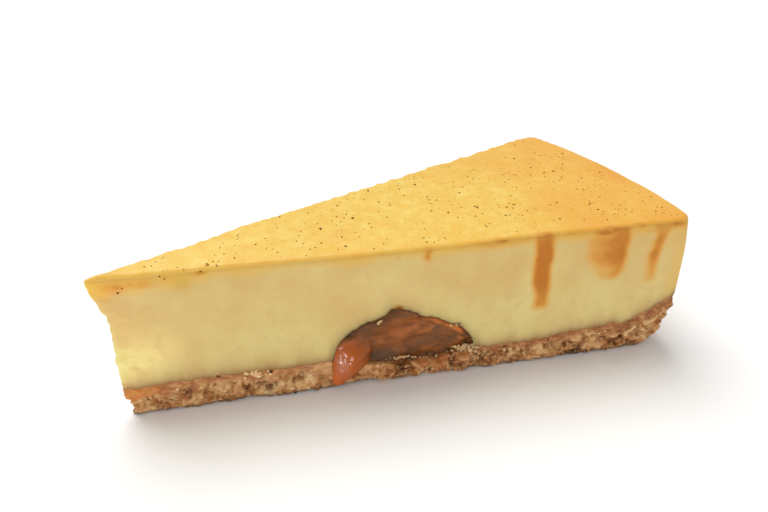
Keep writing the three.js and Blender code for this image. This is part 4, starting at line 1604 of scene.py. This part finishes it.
@dataclass
class Glaze:
    """The golden sheet over the filling, with its drips soaked in just under the front cut.

    rounding_rows counts the loops over the rounded edge. lip is how far the sheet is turned
    down below its own thickness, and tuck how far its hidden underside lies inside the cut.
    skin is how deep a drip lies under the cut, bulk how thick it is, and narrower the share of
    the run's width that it takes, so that its sides stay hidden.
    """

    columns: Columns = field(
        default_factory=lambda: Columns.spread(np.arange(300) / 300, 12, 56, 48)
    )
    rounding_rows: int = 12
    lip: float = 0.15
    tuck: float = 0.9
    skin: float = 0.04
    bulk: float = 0.5
    narrower: float = 0.8

    def sheet(self) -> Surface:
        """A thin cap that ends on the rounded edge, whose grid over the top carries the waves.

        Returns:
            The closed sheet, with its named values.
        """
        lip = PLAN.glaze_thickness + self.lip
        turn = np.linspace(np.arcsin(1.0 - lip / PLAN.edge_radius), np.pi / 2, self.rounding_rows)
        drop = PLAN.edge_radius * (1.0 - np.sin(turn))
        inset = PLAN.edge_radius * (1.0 - np.cos(turn))
        # A narrow row just under the lip keeps its shading from being bent by the underside
        drop = np.concatenate([[PLAN.glaze_thickness], drop[:1] + 0.02, drop, [0.0, 0.0]])
        under_lip, first = inset[:1] + 0.06, inset[:1] + 0.05
        inset = np.concatenate([[self.tuck], under_lip, first, inset[1:], [1.7, 2.4]])
        guide_x, guide_y, *_ = PLAN.outline(self.columns, np.full(1, PLAN.height))
        z = PLAN.crown(guide_x, guide_y)[None, :] - drop[:, None]
        x, y, nx, ny = PLAN.outline(self.columns, z, inset[:, None])
        z = PLAN.crown(x, y) - drop[:, None]
        r, side = PLAN.polar(x, y)
        # The edge is worn, most along the back cut and at the tip
        rough = np.maximum(ramp(side, 0.4, 0.9), 0.5 * (1.0 - ramp(r, 8.0, 18.0)))
        wear = 0.1 * smooth_noise(x / 2.3, y / 2.3, z / 3)
        wear += rough * (0.22 * smooth_noise(x / 1.6, y / 1.6, 2) + 0.14 * smooth_noise(x, y, 6))
        wear = wear * (ramp(-drop, -lip, -0.2) * (1.0 - ramp(inset, 1.0, 2.2)))[:, None]
        push = 0.03 + PLAN.cut_relief(x, y, z) + wear
        z = z + 0.5 * rough * wear * (1.0 - ramp(inset, 0.6, 1.1))[:, None]
        rows = np.stack([x + push * nx, y + push * ny, z], axis=-1)
        return closed_shell(self.columns, rows, self.floor, PLAN.crown, self.values)

    def floor(self, x: Array, y: Array) -> Array:
        """Height of its underside, one thickness under the top."""
        return PLAN.crown(x, y) - PLAN.glaze_thickness

    def values(self, p: Array) -> dict[str, Array]:
        """The cuts' values, how far towards the rim a point lies, and 1 where it is turned down.

        Args:
            p: Points, number by 3.

        Returns:
            The named values.
        """
        x, y, z = p.T
        r, side = PLAN.polar(x, y)
        # The orange of the edge fades over the top within about 1.2 mm of a cut
        from_cut = r * np.sin(np.clip((1.0 - np.abs(side)) * PLAN.half_angle, 0.0, 1.0))
        near = np.exp(-np.maximum(from_cut, 0.0) / 1.2)
        values = face_values(p)
        values["drip"] = 0.9 * values["drip"]
        values["rimward"] = 0.75 * ramp(r, 50.0, 128.0) ** 1.3 + 0.5 * near * (side < 0)
        depth = PLAN.crown(x, y) - z
        values["turned"] = np.maximum(ramp(depth, -0.1, 1.0), ramp(values["drip"], 0.0, 0.8))
        values["turned"] = np.maximum(values["turned"], 0.15 * near)
        return values

    def drip(self, run: Run) -> Surface:
        """One drip, soaked in: it lies just under the cut, whose skin swells and is stained.

        A section goes round an angle a: it lies narrower times half_width times cos(a) from
        the line and is flat in front.

        Args:
            run: The run of glaze.

        Returns:
            The closed drip, with its named values.
        """
        t = np.linspace(0.0, 1.0, 64)[:, None]
        angle = np.linspace(0.0, 2.0 * np.pi, 48, endpoint=False)[None, :]
        below = 0.4 + (run.depth - 0.6) * t
        share = below / run.depth
        push = np.minimum(0.0, self.bulk * np.sin(angle)) - self.skin
        r = run.centre(share) + self.narrower * run.half_width(share) * np.cos(angle)
        z = PLAN.crown(*np.moveaxis(PLAN.on_cut(r, 0.0, -1.0), -1, 0)[:2]) - below
        face = PLAN.on_cut(r, z, -1.0, 0.0)
        push = push + PLAN.cut_relief(*np.moveaxis(face, -1, 0)) - PLAN.rounding(below)
        sections = PLAN.on_cut(r, z, -1.0, push)
        values = face_values(sections.reshape(-1, 3))
        values = {key: numbers.reshape(r.shape) for key, numbers in values.items()}
        values["rimward"] = np.ones(r.shape)
        values["turned"] = np.ones(r.shape)
        return closed_run(sections, values)

    def build(self) -> Surface:
        """The sheet and all drips as one surface."""
        return Surface.join([self.sheet()] + [self.drip(run) for run in DRIPS])


@dataclass
class Lumps:
    """Many small irregular lumps as one surface, each a lopsided ball of 24 faces."""

    around: int = 6
    rings: int = 3
    seed: int = 7

    def build(self, centres: Array, sizes: Array, flatness: Array, tones: Array) -> Surface:
        """Places a lump at each centre.

        Points lie on a ball by two angles, are moved to 0.68 to 1.2 of its radius at random,
        squashed along one axis, stretched along another and turned about two.

        Args:
            centres: Centres, number by 3, in millimetres.
            sizes: Radii.
            flatness: Height over width of each.
            tones: Shade of each, from 0 to 1.

        Returns:
            The closed lumps with their tones.
        """
        random = np.random.default_rng(self.seed)
        number = len(centres)
        polar = np.pi * np.arange(1, self.rings + 1) / (self.rings + 1)
        turn = 2.0 * np.pi * np.arange(self.around) / self.around
        lat, lon = (a.ravel() for a in np.meshgrid(polar, turn, indexing="ij"))
        ball = np.stack([np.sin(lat) * np.cos(lon), np.sin(lat) * np.sin(lon), -np.cos(lat)], -1)
        ball = np.vstack([ball, [[0.0, 0.0, -1.0], [0.0, 0.0, 1.0]]])
        shape = ball[None] * random.uniform(0.68, 1.2, (number, len(ball), 1))
        shape[..., 2] *= flatness[:, None]
        shape[..., 0] *= random.uniform(0.8, 1.35, (number, 1))
        tilt = random.uniform(0.0, np.pi, number) * (flatness > 0.5)
        spin = random.uniform(0.0, 2.0 * np.pi, number)
        y = shape[..., 1] * np.cos(tilt)[:, None] - shape[..., 2] * np.sin(tilt)[:, None]
        z = shape[..., 1] * np.sin(tilt)[:, None] + shape[..., 2] * np.cos(tilt)[:, None]
        x = shape[..., 0] * np.cos(spin)[:, None] - y * np.sin(spin)[:, None]
        y = shape[..., 0] * np.sin(spin)[:, None] + y * np.cos(spin)[:, None]
        points = centres[:, None] + np.stack([x, y, z], -1) * sizes[:, None, None]
        index = np.arange(self.rings * self.around).reshape(self.rings, self.around)
        index = np.hstack([index, index[:, :1]])
        south, north = self.rings * self.around, self.rings * self.around + 1
        caps = np.vstack(
            [
                np.stack([np.full(self.around, south), index[0, 1:], index[0, :-1]], -1),
                np.stack([np.full(self.around, north), index[-1, :-1], index[-1, 1:]], -1),
            ]
        )
        shift = (np.arange(number) * len(ball))[:, None, None]
        quads = (grid_faces(index)[None] + shift).reshape(-1, 4)
        triangles = (caps[None] + shift).reshape(-1, 3)
        values = {"tone": np.repeat(tones, len(ball))}
        return Surface(points.reshape(-1, 3), quads, triangles, values)


@dataclass
class VanillaSpecks:
    """Vanilla seeds in the glaze, the largest where the solids have them.

    largest and fine count both kinds before the fine ones are thinned out. on_front_cut gives
    the r, z and radius of the few that have run down with the glaze. flatness is a seed's
    height over its width.
    """

    largest: int = 42
    fine: int = 1500
    seed: int = 3
    flatness: float = 0.45
    on_front_cut: tuple[tuple[float, float, float], ...] = (
        (5.9, 29.4, 0.3),
        (6.8, 30.3, 0.24),
        (8.2, 31.0, 0.16),
        (13.6, 31.9, 0.2),
        (14.4, 31.3, 0.18),
        (20.9, 32.1, 0.2),
    )

    def build(self) -> Surface:
        """Flat seeds half sunk in the top, spread at random with a few thick patches.

        Returns:
            The specks, with a tone for each.
        """
        # The largest follow the same pseudo-random numbers as those of the solids
        i = np.arange(self.largest)
        r = 12.0 + (PLAN.radius - 16.0) * np.sqrt(hash_unit(i, 1, 4))
        angle = PLAN.half_angle * 0.86 * (2.0 * hash_unit(i, 2, 9) - 1.0)
        size = 0.22 + 0.14 * hash_unit(i, 3, 2)
        # The fine ones reach closer to tip and edges; a root of the random number spreads them
        # evenly over the wedge, and a noise of 6 mm decides which are kept
        random = np.random.default_rng(self.seed)
        r_fine = 8.0 + (PLAN.radius - 11.0) * np.sqrt(random.uniform(0.0, 1.0, self.fine))
        angle_fine = PLAN.half_angle * 0.93 * random.uniform(-1.0, 1.0, self.fine)
        size_fine = 0.07 + 0.17 * random.uniform(0.0, 1.0, self.fine) ** 3
        thick = smooth_noise(r_fine * np.cos(angle_fine) / 6, r_fine * np.sin(angle_fine) / 6, 4)
        kept = random.uniform(-1.0, 1.0, self.fine) < 0.2 + 1.4 * thick
        r, angle = np.concatenate([r, r_fine[kept]]), np.concatenate([angle, angle_fine[kept]])
        size = np.concatenate([size, size_fine[kept]])
        x, y = r * np.cos(angle), r * np.sin(angle)
        centres = np.stack([x, y, PLAN.crown(x, y) - 0.02], axis=-1)
        r_cut, z_cut, size_cut = np.array(self.on_front_cut).T
        centres = np.vstack([centres, PLAN.on_cut(r_cut, z_cut, -1.0, 0.05)])
        size = np.concatenate([size, size_cut])
        tones = random.uniform(0.0, 0.5, len(size))
        return Lumps(seed=5).build(centres, size, np.full(len(size), self.flatness), tones)


@dataclass
class BiscuitCrumbs:
    """Loose crumbs that cling to the broken sides of the base."""

    base: BiscuitBase
    count: int = 1900
    seed: int = 11

    def build(self) -> Surface:
        """Crumbs of 0.12 to 0.7 mm radius, thickest low down and under the caramel.

        Returns:
            The crumbs, with the base's named values.
        """
        random = np.random.default_rng(self.seed)
        number = self.count
        pick = random.uniform(0.0, 1.0, number)
        # One in six lies on the rim, and nearly half of all gather about the middle of a side,
        # which on a cut is beside the caramel
        on_rim = pick > 0.84
        near_caramel = pick % 0.3 < 0.12
        clustered, anywhere = random.normal(0.53, 0.09, number), random.uniform(0, 1, number)
        share = np.where(near_caramel, clustered, anywhere)
        mirror = np.where(random.uniform(0, 1, number) < 0.56, 1.0, -1.0)
        stretch = np.where(on_rim, Stretch.RIM.value, Stretch.CUT.value)
        columns = Columns(stretch, np.clip(share, 0.002, 0.998), mirror, 0, 0)
        size = 0.12 + 0.58 * random.uniform(0.0, 1.0, number) ** 4.0
        x, y, *_ = PLAN.outline(columns, np.full(number, 4.0))
        up = random.uniform(0.05, 0.8, number) * (1.0 - 0.4 * random.uniform(0, 1, number))
        z = np.maximum(up * self.base.top(x, y), size * 0.75)
        x, y, nx, ny = PLAN.outline(columns, z)
        top = self.base.top(x, y)
        push = np.clip(self.base.relief(x, y, z, z / top), -1.6, 1.0) - 0.25 * size
        # The front cut is left free where the caramel has run over the base
        clear = (np.abs(np.hypot(x, y) - ARCH.flow_at) > 5.0) | (y > 0)
        keep = clear & (z + size < top + 0.1)
        centres = np.stack([x + push * nx, y + push * ny, z], axis=-1)[keep]
        tones = random.uniform(-0.2, 0.3, number)[keep]
        flat = random.uniform(0.6, 0.95, number)[keep]
        made = Lumps(seed=13).build(centres, size[keep], flat, tones)
        blank = np.zeros(len(made.points))
        x, y, _ = made.points.T
        soaked = self.base.soaked(np.hypot(x, y), y)
        made.values.update({"band": blank, "hollow": blank, "foot": blank, "tipward": blank})
        made.values["soaked"] = 0.5 * soaked
        return made


@dataclass(frozen=True)
class CrumbGroup:
    """Crumbs about one place on the front cut: its r and z, their spread, number and look.

    along and up are the spreads in millimetres; tone is from 0, dark, to 1, pale; largest is
    the radius of the largest crumb, and sunk is how far behind the cut they lie.
    """

    r: float
    z: float
    along: float
    up: float
    number: int
    tone: float = 0.5
    largest: float = 0.34
    sunk: float = 0.05


@dataclass
class StrayCrumbs:
    """Pale crumbs of filling and toasted biscuit smeared on the front cut."""

    smallest: float = 0.08
    seed: int = 21
    groups: tuple[CrumbGroup, ...] = (
        CrumbGroup(55.4, 14.8, 0.25, 0.3, 12, 0.95, 0.36, 1.1),
        CrumbGroup(74.2, 6.0, 1.5, 0.6, 90, 0.6, 0.42, 0.3),
        CrumbGroup(76.6, 4.8, 0.9, 0.8, 30, 0.5, 0.6, 0.4),
        CrumbGroup(74.6, 5.2, 1.6, 0.7, 18, 0.05, 0.5, 0.3),
        CrumbGroup(65.0, 4.7, 3.8, 0.5, 30, 0.2, 0.55, 0.8),
        CrumbGroup(60.4, 5.5, 1.5, 0.2, 26, 0.55, 0.32, 0.6),
        CrumbGroup(56.4, 4.0, 1.5, 0.6, 14, 0.5, 0.6, 0.5),
        CrumbGroup(29.4, 6.8, 1.4, 0.4, 34, 0.8, 0.5),
        CrumbGroup(30.4, 6.2, 1.4, 0.35, 12, 0.0, 0.42),
        CrumbGroup(21.6, 7.9, 0.5, 0.2, 8, 0.8, 0.26),
        CrumbGroup(21.7, 7.2, 0.25, 0.2, 4, 0.0, 0.42),
        CrumbGroup(72.3, 12.8, 0.7, 0.3, 14, 0.45, 0.3),
        CrumbGroup(73.2, 12.5, 0.3, 0.2, 3, 0.0, 0.25),
        CrumbGroup(105.0, 5.6, 5.0, 0.3, 40, 0.75, 0.3),
        CrumbGroup(116.6, 7.2, 0.5, 0.3, 4, 0.0, 0.34),
        CrumbGroup(64.3, 17.5, 0.7, 0.12, 5, 0.9, 0.16),
    )

    def build(self) -> Surface:
        """Scatters each group's crumbs about its place by a bell curve, small ones mostly.

        Returns:
            The crumbs, with a tone for each.
        """
        random = np.random.default_rng(self.seed)
        number = [group.number for group in self.groups]
        spread = {
            key: np.repeat([getattr(group, key) for group in self.groups], number)
            for key in ("r", "z", "along", "up", "tone", "largest", "sunk")
        }
        total = sum(number)
        r = spread["r"] + spread["along"] * random.normal(0.0, 1.0, total)
        z = spread["z"] + spread["up"] * np.clip(random.normal(0.0, 1.0, total), -2.0, 1.3)
        larger = random.uniform(0.0, 1.0, total) ** 1.6
        size = self.smallest + (spread["largest"] - self.smallest) * larger
        push = random.uniform(-0.2, 0.15, total) - spread["sunk"]
        tones = spread["tone"] + random.uniform(-0.25, 0.25, total)
        centres = PLAN.on_cut(r, z, -1.0, push)
        return Lumps(seed=23).build(centres, size, random.uniform(0.6, 0.95, total), tones)


@dataclass
class Studio:
    """Camera at the photograph's place, soft light from behind, a white floor.

    The camera's focal length and image width are in pixels, its position in millimetres and
    its turns in degrees. sky is the strength of the even white light from all round. The floor
    reaches floor_reach metres from the middle and lies floor_gap millimetres under the slice,
    so that the two are never in one plane.
    """

    focal_pixels: float = 700.0
    image_width: float = 768.0
    position: tuple[float, float, float] = (-63.32, -119.63, 98.57)
    yaw: float = 27.22
    pitch: float = 29.25
    roll: float = 1.03
    sky: float = 0.48
    floor_reach: float = 3.0
    floor_gap: float = 0.05

    def camera(self) -> None:
        """Looks yaw degrees from +Y towards +X and pitch degrees down, rolled a little."""
        yaw, pitch, roll = (math.radians(a) for a in (self.yaw, self.pitch, self.roll))
        ahead = Vector(
            (math.sin(yaw) * math.cos(pitch), math.cos(yaw) * math.cos(pitch), -math.sin(pitch))
        )
        right = Vector((math.cos(yaw), -math.sin(yaw), 0.0))
        up = right.cross(ahead)
        rolled_right = math.cos(roll) * right + math.sin(roll) * up
        rolled_up = math.cos(roll) * up - math.sin(roll) * right
        data = bpy.data.cameras.new("camera")
        data.sensor_width = 36.0
        data.lens = self.focal_pixels / self.image_width * data.sensor_width
        data.clip_start = 0.01
        camera = bpy.data.objects.new("camera", data)
        turn = Matrix((rolled_right, rolled_up, -ahead)).transposed().to_4x4()
        camera.matrix_world = Matrix.Translation(Vector(self.position) * MM) @ turn
        bpy.context.scene.collection.objects.link(camera)
        bpy.context.scene.camera = camera

    def softbox(
        self, place: tuple[float, float, float], size: tuple[float, float], power: float
    ) -> None:
        """Adds an oblong soft light at place, in metres, aimed at the slice's middle.

        Args:
            place: Its middle, in metres.
            size: Its width and height, in metres.
            power: Its power, in watts.
        """
        data = bpy.data.lights.new("side_light", "AREA")
        data.shape = "RECTANGLE"
        data.size, data.size_y = size
        data.energy = power
        lamp = bpy.data.objects.new("side_light", data)
        aim = Vector((0.0, 0.0, 0.015)) - Vector(place)
        lamp.location = place
        lamp.rotation_euler = aim.to_track_quat("-Z", "Y").to_euler()
        lamp.visible_camera = False
        bpy.context.scene.collection.objects.link(lamp)

    def daylight(self, elevation: float, towards: float, spread: float, strength: float) -> None:
        """Adds even soft light from behind.

        Args:
            elevation: Height of its middle over the floor, in degrees.
            towards: Direction it comes from, in degrees from +Y towards +X.
            spread: Angle over which it is spread, in degrees.
            strength: Power for each square metre that faces it, in watts.
        """
        data = bpy.data.lights.new("daylight", "SUN")
        data.angle = math.radians(spread)
        data.energy = strength
        sun = bpy.data.objects.new("daylight", data)
        sun.rotation_euler = (math.radians(elevation - 90.0), 0.0, math.radians(-towards))
        bpy.context.scene.collection.objects.link(sun)

    def floor(self) -> None:
        """A wide white floor just under the slice."""
        mesh = bpy.data.meshes.new("floor")
        reach, level = self.floor_reach, -self.floor_gap * MM
        corners = [(x * reach, y * reach, level) for x, y in ((-1, -1), (1, -1), (1, 1), (-1, 1))]
        mesh.from_pydata(corners, [], [(0, 1, 2, 3)])
        white = Nodes("white_floor").dress({"Base Color": linear("#fbfbfa"), "Roughness": 0.9})
        mesh.materials.append(white)
        floor = bpy.data.objects.new("floor", mesh)
        bpy.context.scene.collection.objects.link(floor)

    def build(self) -> None:
        """Sets the view transform, world, lights, floor and camera."""
        scene = bpy.context.scene
        scene.view_settings.view_transform = "Standard"
        scene.world = bpy.data.worlds.new("studio")
        scene.world.use_nodes = True
        background = scene.world.node_tree.nodes["Background"]
        background.inputs["Color"].default_value = (1.0, 1.0, 1.0, 1.0)
        background.inputs["Strength"].default_value = self.sky
        self.daylight(elevation=62.0, towards=-8.0, spread=45.0, strength=2.15)
        self.softbox(place=(-0.3, -0.44, 0.14), size=(0.07, 0.2), power=0.5)
        self.floor()
        self.camera()


def main() -> None:
    """Builds each piece of the slice in order and reports it."""
    logging.basicConfig(level=logging.INFO, format="%(message)s")
    Studio().build()
    biscuit = PressedBiscuit().build()
    cream = CreamFilling().build()
    caramel = SoftCaramel().build()
    golden = GoldenGlaze().build()
    base = BiscuitBase()
    pieces = (
        ("dressed_base", base, biscuit, "biscuit_base", "biscuit", 80.0),
        ("dressed_filling", Filling(), cream, "filling", "cream_filling", 50.0),
        ("dressed_caramel", CaramelRing(), caramel, "caramel", "caramel", 180.0),
        ("dressed_glaze", Glaze(), golden, "glaze", "golden_glaze", 75.0),
    )
    for name, maker, material, node_name, slot, crease in pieces:
        surface = maker.build()
        piece = surface.build(name, material, crease)
        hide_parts(node_name)
    seed = PlainMatter("vanilla_seed", "#3c1a00", "#a85a10", 0.95).build()
    pale = PlainMatter("stray_crumb", "#6a4020", "#f8d49c", 0.9).build()
    loose = (
        ("vanilla_specks", VanillaSpecks(), seed, "golden_glaze"),
        ("biscuit_crumbs", BiscuitCrumbs(base), biscuit, "biscuit"),
        ("stray_crumbs", StrayCrumbs(), pale, "cream_filling"),
    )
    for name, maker, material, slot in loose:
        surface = maker.build()
        piece = surface.build(name, material, crease=25.0)


if __name__ == "__main__":
    main()
